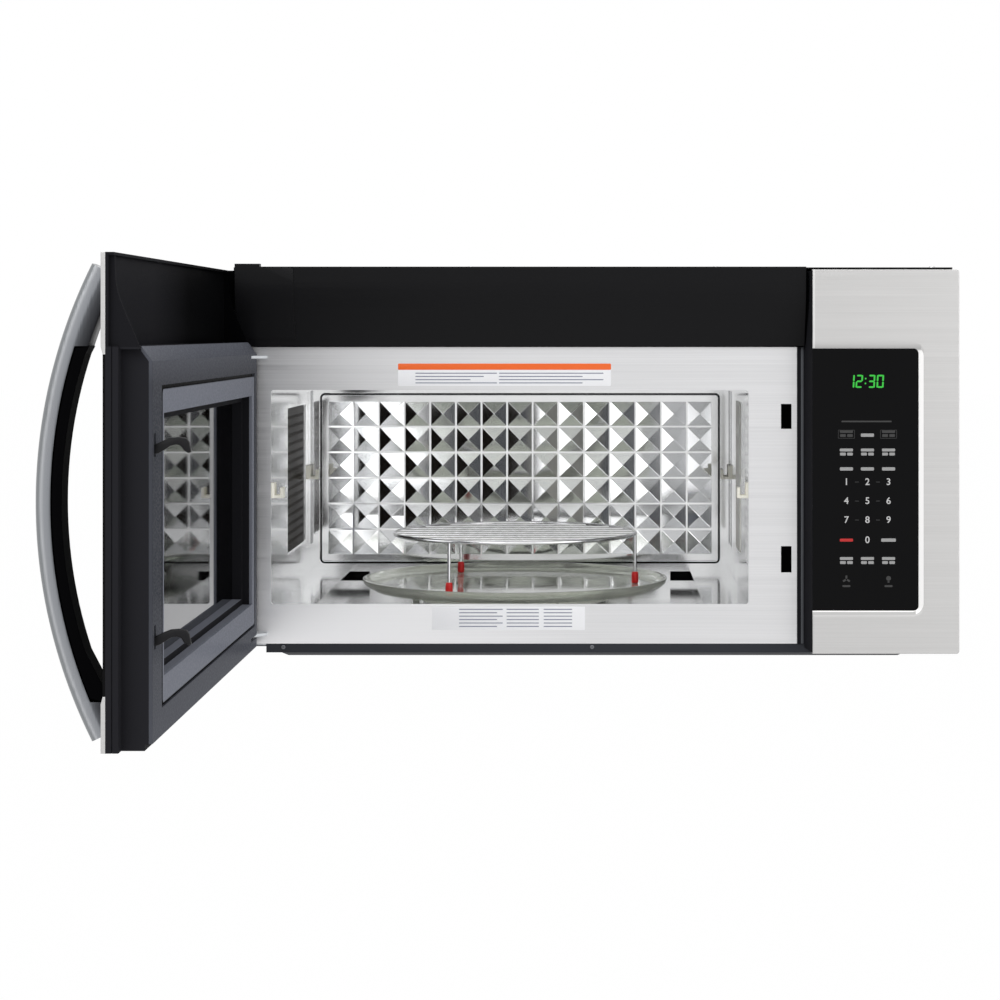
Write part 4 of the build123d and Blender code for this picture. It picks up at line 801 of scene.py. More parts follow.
def finish_charcoal(paint):
    """Honeycomb of charcoal grains."""
    wall = paint.cells(160.0, "DISTANCE_TO_EDGE")
    cell = paint.span(wall, 0.02, 0.16)
    values = {
        "Base Color": paint.mix(cell, (0.06, 0.06, 0.06), (0.006, 0.006, 0.006)),
        "Roughness": 0.85,
        "Normal": paint.bump(cell, 0.001, -0.8),
    }
    return paint.done(values)


def finish_mica(paint):
    flakes = paint.cells(120.0, output=1, stretch=(1.0, 1.0, 0.6))
    tone = paint.axes(flakes)[0]
    values = {
        "Base Color": paint.mix(tone, (0.66, 0.65, 0.60), (0.76, 0.75, 0.71)),
        "Roughness": paint.span(tone, 0.0, 1.0, 0.28, 0.5),
        "Normal": paint.bump(paint.noise(60.0), 0.0002, 0.3),
    }
    return paint.done(values)


def finish_laminations(paint):
    """Stacked iron sheets round copper windings."""
    z = paint.axes(paint.spot((1.0, 1.0, 1500.0)))[2]
    stack = abs((z % 1.0) - 0.5)
    values = {
        "Base Color": paint.mix(paint.span(stack, 0.3, 0.5), (0.20, 0.12, 0.07), (0.05, 0.03, 0.02)),
        "Metallic": 0.5,
        "Roughness": 0.5,
        "Normal": paint.bump(stack, 0.0001, 0.6),
    }
    return paint.done(values)


def finish_board(paint):
    trace = paint.cells(70.0, "DISTANCE_TO_EDGE")
    line = paint.span(trace, 0.03, 0.06)
    values = {
        "Base Color": paint.mix(line, (0.10, 0.32, 0.12), (0.01, 0.12, 0.04)),
        "Roughness": 0.35,
        "Normal": paint.bump(line, 0.00005, 0.5),
    }
    return paint.done(values)


def finish_heater(paint):
    scale = paint.noise(120.0, detail=4.0)
    values = {
        "Base Color": paint.mix(scale, (0.05, 0.045, 0.04), (0.20, 0.17, 0.14)),
        "Metallic": 0.7,
        "Roughness": paint.span(scale, 0.3, 0.7, 0.45, 0.7),
        "Normal": paint.bump(scale, 0.0002, 0.4),
    }
    return paint.done(values)


def finish_black_glass(paint):
    """Black glass with the faintest waviness."""
    wave = paint.noise(6.0, detail=1.0)
    values = {
        "Base Color": paint.mix(wave, (0.0015, 0.0015, 0.0018), (0.003, 0.003, 0.0035)),
        "Roughness": paint.span(paint.noise(40.0, detail=3.0), 0.3, 0.7, 0.04, 0.09),
        "Specular IOR Level": 0.08,
        "Normal": paint.bump(wave, 0.00005, 0.1, paint.edge(0.0005)),
    }
    return paint.done(values)


def finish_door_pane(paint):
    """Coated inner pane that mirrors the oven and shows a trace of the screen behind it."""
    haze = paint.noise(12.0, detail=3.0)
    coating, hole = (0.050, 0.052, 0.056), (0.030, 0.031, 0.034)
    values = {
        "Base Color": paint.mix(paint.screen_holes(0.33), coating, hole),
        "Metallic": 1.0,
        "Roughness": paint.span(haze, 0.3, 0.7, 0.015, 0.05),
    }
    return paint.done(values)


def finish_tray_glass(paint):
    """Clear glass, faintly green, with a slight ripple underneath."""
    ripple = paint.noise(55.0, detail=2.0)
    values = {
        "Base Color": paint.mix(ripple, (0.90, 0.93, 0.84), (0.95, 0.97, 0.91)),
        "Roughness": paint.span(ripple, 0.3, 0.7, 0.03, 0.08),
        "IOR": 1.47,
        "Transmission Weight": 0.86,
        "Normal": paint.bump(ripple, 0.0003, 0.12),
    }
    return paint.done(values)


def finish_lamp_glass(paint):
    x, y, _ = paint.axes(paint.spot((260.0, 260.0, 260.0)))
    ribs = abs((x % 1.0) - 0.5) + abs((y % 1.0) - 0.5)
    values = {
        "Base Color": (0.86, 0.86, 0.83),
        "Roughness": 0.22,
        "Transmission Weight": 0.55,
        "IOR": 1.49,
        "Normal": paint.bump(ribs, 0.0006, 0.6),
    }
    return paint.done(values)


def finish_clock_green(paint):
    """Lit digits, a little uneven."""
    green = colours().clock
    values = {
        "Base Color": (0.01, 0.01, 0.01),
        "Emission Color": paint.mix(paint.noise(300.0), green, scaled(green, 0.9)),
        "Emission Strength": 1.0,
        "Roughness": 0.4,
    }
    return paint.done(values)


def finish_display_dark(paint):
    return moulded(paint, (0.004, 0.012, 0.005), 0.2, radius=0.0004, shine=0.4)


def printed(paint, colour, rough=0.5):
    """Screen print, a little uneven."""
    speck = paint.noise(2500.0, detail=2.0)
    values = {
        "Base Color": paint.mix(speck, scaled(colour, 0.9), colour),
        "Roughness": paint.span(speck, 0.3, 0.7, rough - 0.06, rough + 0.06),
        "Normal": paint.bump(speck, 0.00001, 0.2),
    }
    return paint.done(values)


def finish_legend_print(paint):
    return printed(paint, colours().legend)


def finish_legend_dim(paint):
    return printed(paint, scaled(colours().legend, 0.045))


def finish_legend_words(paint):
    return printed(paint, scaled(colours().legend, 0.62))


def finish_stop_print(paint):
    return printed(paint, scaled(colours().stop, 0.7))


def finish_label_paper(paint):
    return printed(paint, (0.97, 0.975, 1.0), 0.42)


def finish_label_orange(paint):
    return printed(paint, (1.0, 0.155, 0.016), 0.5)


def finish_label_rule(paint):
    return printed(paint, (0.22, 0.24, 0.32), 0.42)


# ---------------------------------------------------------------- mesh tools
def square_edges(verts, way):
    """The edges at these points that lie square to a direction."""
    way = way.normalized()
    edges = {edge for vert in verts for edge in vert.link_edges}
    return [edge for edge in edges if abs((edge.verts[1].co - edge.verts[0].co).dot(way)) < 1e-7]


def slab(bm, low, high, axis="z", corner=0.0, rim=0.0, steps=4):
    """A box between two corners; its edges along an axis rounded, then its rims softened."""
    before = set(bm.verts)
    made = bmesh.ops.create_cube(bm, size=1.0)["verts"]
    low, high = Vector(low), Vector(high)
    bmesh.ops.scale(bm, vec=high - low, verts=made)
    bmesh.ops.translate(bm, vec=(high + low) / 2, verts=made)
    way = Vector([float(letter == axis) for letter in "xyz"])
    if corner:
        along = [
            edge
            for edge in {edge for vert in made for edge in vert.link_edges}
            if abs((edge.verts[1].co - edge.verts[0].co).normalized().dot(way)) > 0.9
        ]
        soften(bm, along, corner, steps)
    if rim:
        new = [vert for vert in bm.verts if vert not in before]
        soften(bm, square_edges(new, way), rim, 2)
    return [vert for vert in bm.verts if vert not in before]


def soften(bm, edges, offset, steps):
    """Rounds these edges."""
    bmesh.ops.bevel(
        bm,
        geom=edges,
        offset=offset,
        offset_type="OFFSET",
        segments=steps,
        profile=0.5,
        affect="EDGES",
        clamp_overlap=True,
        material=-1,
    )


def lathe(bm, profile, centre, axis=(0.0, 0.0, 1.0), steps=96):
    """Spins a line of (radius, height) points about an axis through a centre."""
    axis = Vector(axis).normalized()
    side = axis.orthogonal().normalized()
    centre = Vector(centre)
    verts = [bm.verts.new(centre + side * radius + axis * height) for radius, height in profile]
    edges = [bm.edges.new(pair) for pair in zip(verts, verts[1:])]
    bmesh.ops.spin(
        bm, geom=verts + edges, cent=centre, axis=axis, angle=2 * math.pi, steps=steps, use_merge=True
    )


def bar(bm, start, end, radius, sides=14, rim=0.0):
    """A round bar between two points."""
    start, end = Vector(start), Vector(end)
    way = end - start
    turn = way.to_track_quat("Z", "Y").to_matrix().to_4x4()
    place = Matrix.Translation((start + end) / 2) @ turn
    before = set(bm.verts)
    bmesh.ops.create_cone(
        bm,
        cap_ends=True,
        segments=sides,
        radius1=radius,
        radius2=radius,
        depth=way.length,
        matrix=place,
    )
    if rim:
        new = [vert for vert in bm.verts if vert not in before]
        soften(bm, square_edges(new, way), rim, 2)


def piece(name, bm, body, look, slot, stands_for=(), angle=38.0):
    """Ends a mesh: merged, turned outwards, shaded, finished, and riding on its body."""
    bmesh.ops.remove_doubles(bm, verts=bm.verts, dist=1e-6)
    bmesh.ops.dissolve_degenerate(bm, edges=bm.edges, dist=1e-7)
    bmesh.ops.recalc_face_normals(bm, faces=bm.faces)
    mesh = bpy.data.meshes.new(name)
    bm.to_mesh(mesh)
    bm.free()
    mesh.polygons.foreach_set("use_smooth", [True] * len(mesh.polygons))
    mesh.set_sharp_from_angle(angle=math.radians(angle))
    mesh.materials.append(finish(look))
    made = bpy.data.objects.new(name, mesh)
    bpy.context.scene.collection.objects.link(made)
    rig.ride(made, body)
    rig.slot(made, slot)
    if stands_for:
        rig.replaces(made, *stands_for)
    return made


def smooth_copy(name, node, body, look, slot, angle=30.0):
    """A CAD node's own shape, merged and smoothly shaded, standing for it."""
    bm = bmesh.new()
    bm.from_mesh(NODES[node].data)
    bmesh.ops.remove_doubles(bm, verts=bm.verts, dist=2e-5)
    return piece(name, bm, body, look, slot, (node,), angle)


def dress(looks):
    """Gives CAD nodes their finishes."""
    for look, nodes in looks.items():
        for node in nodes:
            mesh = NODES[node].data
            mesh.materials.clear()
            mesh.materials.append(finish(look))


# ---------------------------------------------------------------- stage
class MICROWAVE_OT_stage(bpy.types.Operator):
    """Sets the camera, the lights, the world and the floor."""

    bl_idname = "microwave.stage"
    bl_label = "Stage"
    # Name, place, target, size in metres and power in watts
    lamps = (
        ("key", (-1.3, -2.4, 1.7), (0.0, -0.3, 0.0), 1.6, 30.0),
        ("fill", (1.9, -2.2, 0.5), (0.1, -0.3, 0.0), 1.8, 16.0),
        ("top", (0.2, -0.6, 2.2), (0.0, -0.3, 0.0), 1.8, 18.0),
        ("oven", (-0.09, -0.2, 0.066), (-0.09, -0.2, -0.2), 0.30, 0.10),
        ("oven_side", (-0.320, -0.335, -0.03), (0.05, -0.20, -0.04), 0.13, 0.07),
    )

    def execute(self, context):
        scene = context.scene
        scene.view_settings.view_transform = "Standard"
        picture_pixels, focal_pixels = 1000, 2400
        axis_pixel_x, axis_pixel_y = 593, 330
        lens = bpy.data.cameras.new("camera")
        lens.sensor_width = 36.0
        lens.lens = lens.sensor_width * focal_pixels / picture_pixels
        lens.shift_x = 0.5 - axis_pixel_x / picture_pixels
        lens.shift_y = axis_pixel_y / picture_pixels - 0.5
        camera = bpy.data.objects.new("camera", lens)
        camera.location = (0.0, -2.899, 0.1335)
        camera.rotation_euler = (math.radians(90), 0.0, 0.0)
        scene.collection.objects.link(camera)
        scene.camera = camera
        for lamp in self.lamps:
            self.lamp(*lamp)

        world = bpy.data.worlds.new("studio")
        world.use_nodes = True
        tree = world.node_tree
        tree.nodes.clear()
        background = tree.nodes.new("ShaderNodeBackground")
        feed(tree, background.inputs["Color"], (1.0, 1.0, 1.0))
        fill = 0.5
        feed(tree, background.inputs["Strength"], seen_white(tree) * (1.0 - fill) + fill)
        output = tree.nodes.new("ShaderNodeOutputWorld")
        tree.links.new(background.outputs[0], output.inputs["Surface"])
        scene.world = world

        floor_half, floor_z = 40.0, -1.0
        bm = bmesh.new()
        bmesh.ops.create_grid(bm, x_segments=8, y_segments=8, size=floor_half)
        bmesh.ops.translate(bm, vec=(0.0, 0.0, floor_z), verts=bm.verts)
        mesh = bpy.data.meshes.new("floor")
        bm.to_mesh(mesh)
        bm.free()
        floor = bpy.data.objects.new("floor", mesh)
        mesh.materials.append(self.floor_paint())
        scene.collection.objects.link(floor)
        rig.stage(floor)
        return {"FINISHED"}

    def lamp(self, name, place, target, size, power):
        light = bpy.data.lights.new(name, "AREA")
        light.size = size
        light.energy = power
        made = bpy.data.objects.new(name, light)
        made.location = place
        way = Vector(target) - Vector(place)
        made.rotation_euler = way.to_track_quat("-Z", "Y").to_euler()
        bpy.context.scene.collection.objects.link(made)

    def floor_paint(self):
        """White from above, and clear from below, so that the underside can be seen."""
        paint = Finish("studio_floor")
        white = (1.0, 1.0, 1.0)
        glow = seen_white(paint.tree) * 0.995
        plain = paint.node("ShaderNodeBsdfDiffuse", values={"Color": (0.86, 0.86, 0.86)})
        lit = paint.node("ShaderNodeEmission", values={"Color": white, "Strength": 1.0})
        above = paint.node("ShaderNodeMixShader", values={0: glow, 1: plain, 2: lit})
        clear = paint.node("ShaderNodeBsdfTransparent", values={"Color": white})
        facing_away = paint.geometry("Backfacing")
        floor = paint.node("ShaderNodeMixShader", values={0: facing_away, 1: above, 2: clear})
        paint.node("ShaderNodeOutputMaterial", values={"Surface": floor})
        return paint.material


# ---------------------------------------------------------------- finishes of the CAD pieces
class MICROWAVE_OT_case(bpy.types.Operator):
    """Finishes the case, the front plate, the vent panel and what hangs beneath."""

    bl_idname = "microwave.case"
    bl_label = "Case"

    def execute(self, context):
        looks = {
            "case_paint": ("outer_case",),
            "galvanised": ("mounting_nuts", "hinge_brackets", "duct_frame", "damper_flap"),
            "lined_sheet": ("rear_panel",),
            "satin_plate": ("front_plate",),
            "black_plastic": ("cord_gland",),
            "pan_paint": ("bottom_pan",),
            "lamp_glass": ("lamp_cover", "cooktop_lamp"),
            "charcoal": ("charcoal_filter",),
        }
        dress(looks)
        smooth_copy("vent_hood", "vent_panel", "chassis", "hood_plastic", "black_plastic")
        smooth_copy("hinge_box", "hinge_cover", "chassis", "hood_plastic", "black_plastic")
        return {"FINISHED"}


class MICROWAVE_OT_oven(bpy.types.Operator):
    """Finishes the oven's pressed steel, its supports and the turntable's drive."""

    bl_idname = "microwave.oven"
    bl_label = "Oven"

    def execute(self, context):
        looks = {
            "oven_wall": ("cavity_right_wall", "cavity_ceiling"),
            "vented_wall": ("cavity_left_wall",),
            "oven_back": ("cavity_back_wall",),
            "oven_floor": ("cavity_floor",),
            "mica": ("waveguide_cover",),
            "support_plastic": ("rack_supports",),
            "coupler_plastic": ("turntable_coupler", "roller_ring", "roller_1", "roller_2", "roller_3"),
            "galvanised": ("turntable_motor",),
        }
        dress(looks)
        return {"FINISHED"}


class MICROWAVE_OT_door(bpy.types.Operator):
    """Finishes the door and its panes, and makes the latch spring, which shortens with the latch."""

    bl_idname = "microwave.door"
    bl_label = "Door"

    def execute(self, context):
        looks = {
            "brushed_door": ("door_skin",),
            "black_glass": ("door_glass",),
            "door_plastic": ("door_frame",),
            "choke_paint": ("door_inner_frame",),
            "door_pane": ("door_inner_glass",),
            "screen_metal": ("door_screen",),
            "handle_liner": ("handle_strip",),
        }
        dress(looks)
        coil = smooth_copy("latch_coil", "latch_spring", "door", "bright_wire", "spring_steel")
        heights = [vert.co.z for vert in coil.data.vertices]
        low, top = min(heights), max(heights)
        anchor = (coil.data.vertices[0].co.x, coil.data.vertices[0].co.y, top)
        # The latch lifts by 4 mm
        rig.squash(coil, "latch_slide", (0.0, 0.0, 1.0), anchor, 1.0 - 0.004 / (top - low))
        return {"FINISHED"}


class MICROWAVE_OT_controls(bpy.types.Operator):
    """Finishes the control panel and what stands behind it."""

    bl_idname = "microwave.controls"
    bl_label = "Control Panel"

    def execute(self, context):
        looks = {
            "brushed_fascia": ("control_fascia",),
            "black_glass": ("control_glass",),
            "housing_plastic": ("control_housing", "interlock_switches"),
            "display_dark": ("display_module",),
            "board": ("control_board",),
        }
        dress(looks)
        return {"FINISHED"}


class MICROWAVE_OT_workings(bpy.types.Operator):
    """Finishes the pieces inside the case."""

    bl_idname = "microwave.workings"
    bl_label = "Workings"

    def execute(self, context):
        looks = {
            "galvanised": ("waveguide", "convection_housing", "blower_housing", "blower_wheels"),
            "aluminium": ("magnetron", "convection_fan"),
            "laminations": ("high_voltage_supply",),
            "housing_plastic": ("cooling_fan_frame",),
            "white_plastic": ("cooling_fan",),
            "lamp_glass": ("oven_lamp",),
            "heater": ("convection_heater",),
        }
        dress(looks)
        return {"FINISHED"}


# ---------------------------------------------------------------- new pieces
def swing_open(bm):
    """Turns a door piece from closed to where it stands open."""
    bmesh.ops.rotate(bm, cent=HINGE, matrix=Matrix.Rotation(-math.pi / 2, 3, "Z"), verts=bm.verts)


class MICROWAVE_OT_handle(bpy.types.Operator):
    """Makes the bow handle, with its two feet."""

    bl_idname = "microwave.handle"
    bl_label = "Handle"

    def execute(self, context):
        width, depth = sizes().grip_width, sizes().grip_depth
        centre = Vector((0.189, -0.041, -0.0053))
        outer = 0.430
        half_angle = math.asin(0.1925 / outer)
        bm = bmesh.new()
        grid = bmesh.ops.create_grid(bm, x_segments=1, y_segments=1, size=0.5)["verts"]
        bmesh.ops.scale(bm, vec=(width, depth, 1.0), verts=grid)
        for side, corner in ((-1, depth * 0.40), (1, 0.0010)):
            corners = [vert for vert in bm.verts if vert.co.y * side > depth * 0.49]
            bmesh.ops.bevel(
                bm,
                geom=corners,
                offset=corner,
                offset_type="OFFSET",
                segments=7 if side < 0 else 2,
                profile=0.5,
                affect="VERTICES",
                material=-1,
            )
        start = Matrix.Translation(centre) @ Matrix.Rotation(-half_angle, 4, "X")
        start = start @ Matrix.Translation((0.0, -(outer - depth / 2), 0.0))
        bmesh.ops.transform(bm, matrix=start, verts=bm.verts)
        section = bm.faces[:] + bm.edges[:] + bm.verts[:]
        bmesh.ops.spin(
            bm, geom=section, cent=centre, axis=(1.0, 0.0, 0.0), angle=2 * half_angle, steps=110
        )
        bmesh.ops.remove_doubles(bm, verts=bm.verts, dist=1e-6)
        for vert in bm.verts:
            self.thicken_end(vert, centre, outer, depth)
        swing_open(bm)
        piece("handle_bow", bm, "door", "handle_metal", "stainless", ("handle_bar",), 50.0)
        return {"FINISHED"}

    def thicken_end(self, vert, centre, outer, depth):
        """Moves the inner side of the bow down to the door beyond the ends of the black strip."""
        arm = vert.co - centre
        radius = math.hypot(arm.y, arm.z)
        strip_end = 0.1260 if arm.z > 0 else 0.1604
        past = min(1.0, max(0.0, (abs(arm.z) - strip_end + 0.001) / 0.002))
        inward = min(1.0, max(0.0, ((outer - radius) / depth - 0.55) / 0.4))
        floor = max(0.4062, 0.3712 * radius / abs(arm.y))
        wanted = radius - past * inward * max(0.0, outer - depth - floor)
        arm.y, arm.z = arm.y * wanted / radius, arm.z * wanted / radius
        vert.co = centre + arm


class MICROWAVE_OT_latch(bpy.types.Operator):
    """Makes the latch bar with its two curved hooks."""

    bl_idname = "microwave.latch"
    bl_label = "Latch Hooks"

    def execute(self, context):
        # A hook's outline, in millimetres out from its root and up from its top
        outline = (
            (-15.5, -9.5),
            (-15.5, -1.5),
            (-4.0, -4.6),
            (-1.0, -4.4),
            (6.0, -1.0),
            (12.4, 1.6),
            (19.0, 2.2),
            (25.4, 1.2),
            (27.6, -2.0),
            (29.4, -10.0),
            (27.0, -10.8),
            (23.4, -8.6),
            (21.3, -5.0),
            (17.8, -3.8),
            (13.1, -4.8),
            (7.4, -8.4),
            (3.0, -11.0),
            (-1.0, -11.4),
            (-4.0, -11.0),
        )
        side, far_side, root = 0.2005, 0.2055, -0.3735
        bm = bmesh.new()
        slab(bm, (side, -0.3990, -0.1215), (far_side, -0.3880, 0.0535), "x", 0.0015, 0.0005)
        for top in (0.0455, -0.1085):
            before = set(bm.edges)
            verts = [bm.verts.new((side, root + out * MM, top + up * MM)) for out, up in outline]
            face = bm.faces.new(verts)
            grown = bmesh.ops.extrude_face_region(bm, geom=[face])["geom"]
            moved = [item for item in grown if isinstance(item, bmesh.types.BMVert)]
            bmesh.ops.translate(bm, vec=(far_side - side, 0.0, 0.0), verts=moved)
            rims = [
                edge
                for edge in bm.edges
                if edge not in before and abs(edge.verts[0].co.x - edge.verts[1].co.x) < 1e-6
            ]
            soften(bm, rims, 0.0008, 2)
        swing_open(bm)
        piece("latch_hooks", bm, "latch", "black_plastic", "black_plastic", ("latch_bar",))
        return {"FINISHED"}


class MICROWAVE_OT_tray(bpy.types.Operator):
    """Makes the glass turntable with its raised rim and its underside lugs."""

    bl_idname = "microwave.tray"
    bl_label = "Turntable Tray"

    def execute(self, context):
        middle = (OVEN_X, TURNTABLE_Y, 0.0)
        bm = bmesh.new()
        profile = (
            (0.0, -0.1568),
            (0.1585, -0.1568),
            (0.1625, -0.1560),
            (0.1662, -0.1530),
            (0.1696, -0.1496),
            (0.1708, -0.1460),
            (0.1708, -0.1446),
            (0.1700, -0.1442),
            (0.1684, -0.1443),
            (0.1672, -0.1462),
            (0.1650, -0.1492),
            (0.1615, -0.1512),
            (0.1560, TRAY_TOP),
            (0.0, TRAY_TOP),
        )
        lathe(bm, profile, middle, steps=128)
        lug_circle, lug_radius = 0.020, 0.0038
        for index in range(3):
            angle = math.radians(60 + 120 * index)
            x = middle[0] + lug_circle * math.cos(angle)
            y = middle[1] + lug_circle * math.sin(angle)
            bar(bm, (x, y, -0.1614), (x, y, -0.1570), lug_radius, 18, 0.0008)
        piece("turntable_dish", bm, "glass_tray", "tray_glass", "tray_glass", ("glass_tray",))
        return {"FINISHED"}


class MICROWAVE_OT_rack(bpy.types.Operator):
    """Makes the wire rack: ring, cross wires, straight legs and their red feet."""

    bl_idname = "microwave.rack"
    bl_label = "Rack"

    def execute(self, context):
        middle = Vector((OVEN_X, TURNTABLE_Y, -0.0948))
        radius, wire = 0.135, sizes().rack_wire
        spacing, cross_wire, leg_wire, leg_length = 0.027, 0.0015, 0.0019, 0.0530
        bm = bmesh.new()
        turns = [step * math.pi / 7 for step in range(15)]
        sides = [(radius + wire * math.cos(turn), wire * math.sin(turn)) for turn in turns]
        lathe(bm, sides, middle, steps=120)
        for index in range(9):
            y = (index - 4) * spacing
            half = math.sqrt((radius - 0.0003) ** 2 - y**2)
            left, right = Vector((-half, y, -0.0002)), Vector((half, y, -0.0002))
            bar(bm, middle + left, middle + right, cross_wire, 12)
        feet = bmesh.new()
        for index in range(3):
            angle = math.radians(120 * index)
            out = Vector((math.cos(angle), math.sin(angle), 0.0)) * radius
            top = middle + out + Vector((0.0, 0.0, 0.0006))
            foot = middle + out + Vector((0.0, 0.0, -leg_length))
            bar(bm, foot, top, leg_wire, 14)
            profile = (
                (0.0, 0.0),
                (0.0028, 0.0001),
                (0.0037, 0.0008),
                (0.0040, 0.0020),
                (0.0039, 0.0090),
                (0.0034, 0.0122),
                (0.0026, 0.0130),
                (0.0020, 0.0130),
                (0.0020, 0.0041),
                (0.0, 0.0041),
            )
            lathe(feet, profile, (foot.x, foot.y, TRAY_TOP), steps=28)
        piece("rack_wires", bm, "rack", "bright_wire", "wire", ("wire_rack",))
        piece("rack_boots", feet, "rack", "foot_rubber", "foot_rubber", ("rack_feet",))
        return {"FINISHED"}


class MICROWAVE_OT_clock(bpy.types.Operator):
    """Makes the clock's lit digits."""

    bl_idname = "microwave.clock"
    bl_label = "Clock"

    def execute(self, context):
        height = sizes().clock_height
        left, middle_z, slant = 0.2638, 0.0803, 0.05
        bm = bmesh.new()
        lit = {
            "1": ("upper_right", "lower_right"),
            "2": ("top", "upper_right", "middle", "lower_left", "bottom"),
            "3": ("top", "upper_right", "middle", "lower_right", "bottom"),
            "0": ("top", "upper_right", "lower_right", "bottom", "lower_left", "upper_left"),
        }
        for digit, place in (("1", 0.0), ("2", 0.0086), ("3", 0.0213), ("0", 0.0303)):
            for name in lit[digit]:
                self.segment(bm, name, left + place, height)
        for z in (-0.0022, 0.0028):
            low, high = (left + 0.0180, -0.0001, z - 0.0008), (left + 0.0195, 0.0, z + 0.0008)
            slab(bm, low, high, "y", 0.0004)
        lean = Matrix.Identity(4)
        lean[0][2] = slant
        bmesh.ops.transform(bm, matrix=lean, verts=bm.verts)
        bmesh.ops.translate(bm, vec=(0.0, GLASS_FACE - 0.00003, middle_z), verts=bm.verts)
        piece("clock_digits", bm, "chassis", "clock_green", "display")
        return {"FINISHED"}

    def segment(self, bm, name, left, height):
        wide, thick, gap = 0.0074, 0.0017, 0.0002
        half = height / 2
        if name in ("top", "middle", "bottom"):
            z = {"top": half, "middle": 0.0, "bottom": -half}[name]
            z = max(-half + thick / 2, min(half - thick / 2, z))
            low = (left + gap + thick * 0.5, -0.0001, z - thick / 2)
            high = (left + wide - gap - thick * 0.5, 0.0, z + thick / 2)
        else:
            x = left + thick / 2 if "left" in name else left + wide - thick / 2
            z = (gap, half - gap) if "upper" in name else (-half + gap, -gap)
            low = (x - thick / 2, -0.0001, z[0])
            high = (x + thick / 2, 0.0, z[1])
        slab(bm, low, high, "y", thick * 0.4, 0.0, 1)


class MICROWAVE_OT_keypad(bpy.types.Operator):
    """Prints the keypad: plain numbers, plain bars for words, and simple signs."""

    bl_idname = "microwave.keypad"
    bl_label = "Keypad"
    columns = (0.2627, 0.2845, 0.3064)

    def execute(self, context):
        white, words, dim, red = (bmesh.new() for _ in range(4))
        rows = ((-0.0241, "123"), (-0.0438, "456"), (-0.0635, "789"))
        zero_row, sign_row = -0.0843, -0.1250
        for z, digits in rows:
            for x, digit in zip(self.columns, digits):
                self.number(white, digit, x, z)
        self.number(white, "0", self.columns[1], zero_row)
        for x in self.columns:
            self.words(words, x, 0.0070, 2)
            self.words(words, x, -0.0105, 1)
            self.words(words, x, -0.1055, 2)
        self.words(words, self.columns[1], 0.0245, 1)
        for x in (self.columns[0], self.columns[2]):
            self.words(dim, x, 0.0262, 2)
            self.box(dim, x, 0.0255, 0.0168, 0.0085)
            self.words(dim, x, -0.1320, 1, 0.6)
        for z, _ in rows:
            for x in (0.2736, 0.2954):
                self.mark(dim, x, z, 0.0040, 0.0006)
        self.fan(dim, self.columns[0], sign_row)
        self.bulb(dim, self.columns[2], sign_row)
        self.mark(dim, self.columns[1] - 0.0009, 0.0387, 0.0518, 0.0016)
        self.mark(red, self.columns[0], zero_row, 0.0136, 0.0030)
        self.mark(words, self.columns[2], zero_row, 0.0152, 0.0034)
        looks = (
            ("keypad_print", white, "legend_print"),
            ("keypad_words", words, "legend_words"),
            ("keypad_signs", dim, "legend_dim"),
            ("keypad_stop", red, "stop_print"),
        )
        for name, bm, look in looks:
            bmesh.ops.translate(bm, vec=(0.0, GLASS_FACE, 0.0), verts=bm.verts)
            piece(name, bm, "chassis", look, "black_glass")
        return {"FINISHED"}

    def mark(self, bm, x, z, wide, tall):
        low = (x - wide / 2, -0.00009, z - tall / 2)
        slab(bm, low, (x + wide / 2, -0.00001, z + tall / 2), "y", min(wide, tall) * 0.25, 0.0, 2)

    def words(self, bm, x, z, lines, size=1.0):
        """Plain bars where a key has words."""
        for line in range(lines):
            tall = 0.0030 if lines == 2 else 0.0034
            drop = (line - (lines - 1) / 2) * 0.0042 * size
            for shift, wide in ((-0.0036, 0.0060), (0.0037, 0.0058)) if line else ((0.0, 0.0136),):
                self.mark(bm, x + shift * size, z - drop, wide * size, tall * size)

    def box(self, bm, x, z, wide, tall):
        """A thin outline round a key."""
        for side in (-1, 1):
            self.mark(bm, x + side * wide / 2, z, 0.0004, tall)
            self.mark(bm, x, z + side * tall / 2, wide, 0.0004)

    def number(self, bm, digit, x, z):
        text = bpy.data.curves.new("digit", "FONT")
        text.body = digit
        text.size = sizes().digit_height * 1.36
        text.align_x = "CENTER"
        text.align_y = "CENTER"
        text.extrude = 0.00004
        text.offset = 0.00012
        holder = bpy.data.objects.new("digit", text)
        mesh = bpy.data.meshes.new_from_object(holder)
        place = Matrix.Translation((x, -0.00005, z)) @ Matrix.Rotation(math.pi / 2, 4, "X")
        mesh.transform(place)
        bm.from_mesh(mesh)
        bpy.data.meshes.remove(mesh)
        bpy.data.objects.remove(holder)
        bpy.data.curves.remove(text)

    def fan(self, bm, x, z):
        """Three blades round a centre."""
        for index in range(3):
            before = set(bm.verts)
            self.mark(bm, x, z + 0.0024, 0.0020, 0.0034)
            new = [vert for vert in bm.verts if vert not in before]
            turn = Matrix.Rotation(index * 2 * math.pi / 3, 3, "Y")
            bmesh.ops.rotate(bm, cent=(x, 0.0, z), matrix=turn, verts=new)

    def bulb(self, bm, x, z):
        """A round bulb over its cap."""
        place = Matrix.Translation((x, -0.00005, z + 0.0010)) @ Matrix.Rotation(math.pi / 2, 4, "X")
        bmesh.ops.create_cone(
            bm, cap_ends=True, segments=20, radius1=0.0025, radius2=0.0025, depth=0.00007, matrix=place
        )
        self.mark(bm, x, z - 0.0026, 0.0022, 0.0016)


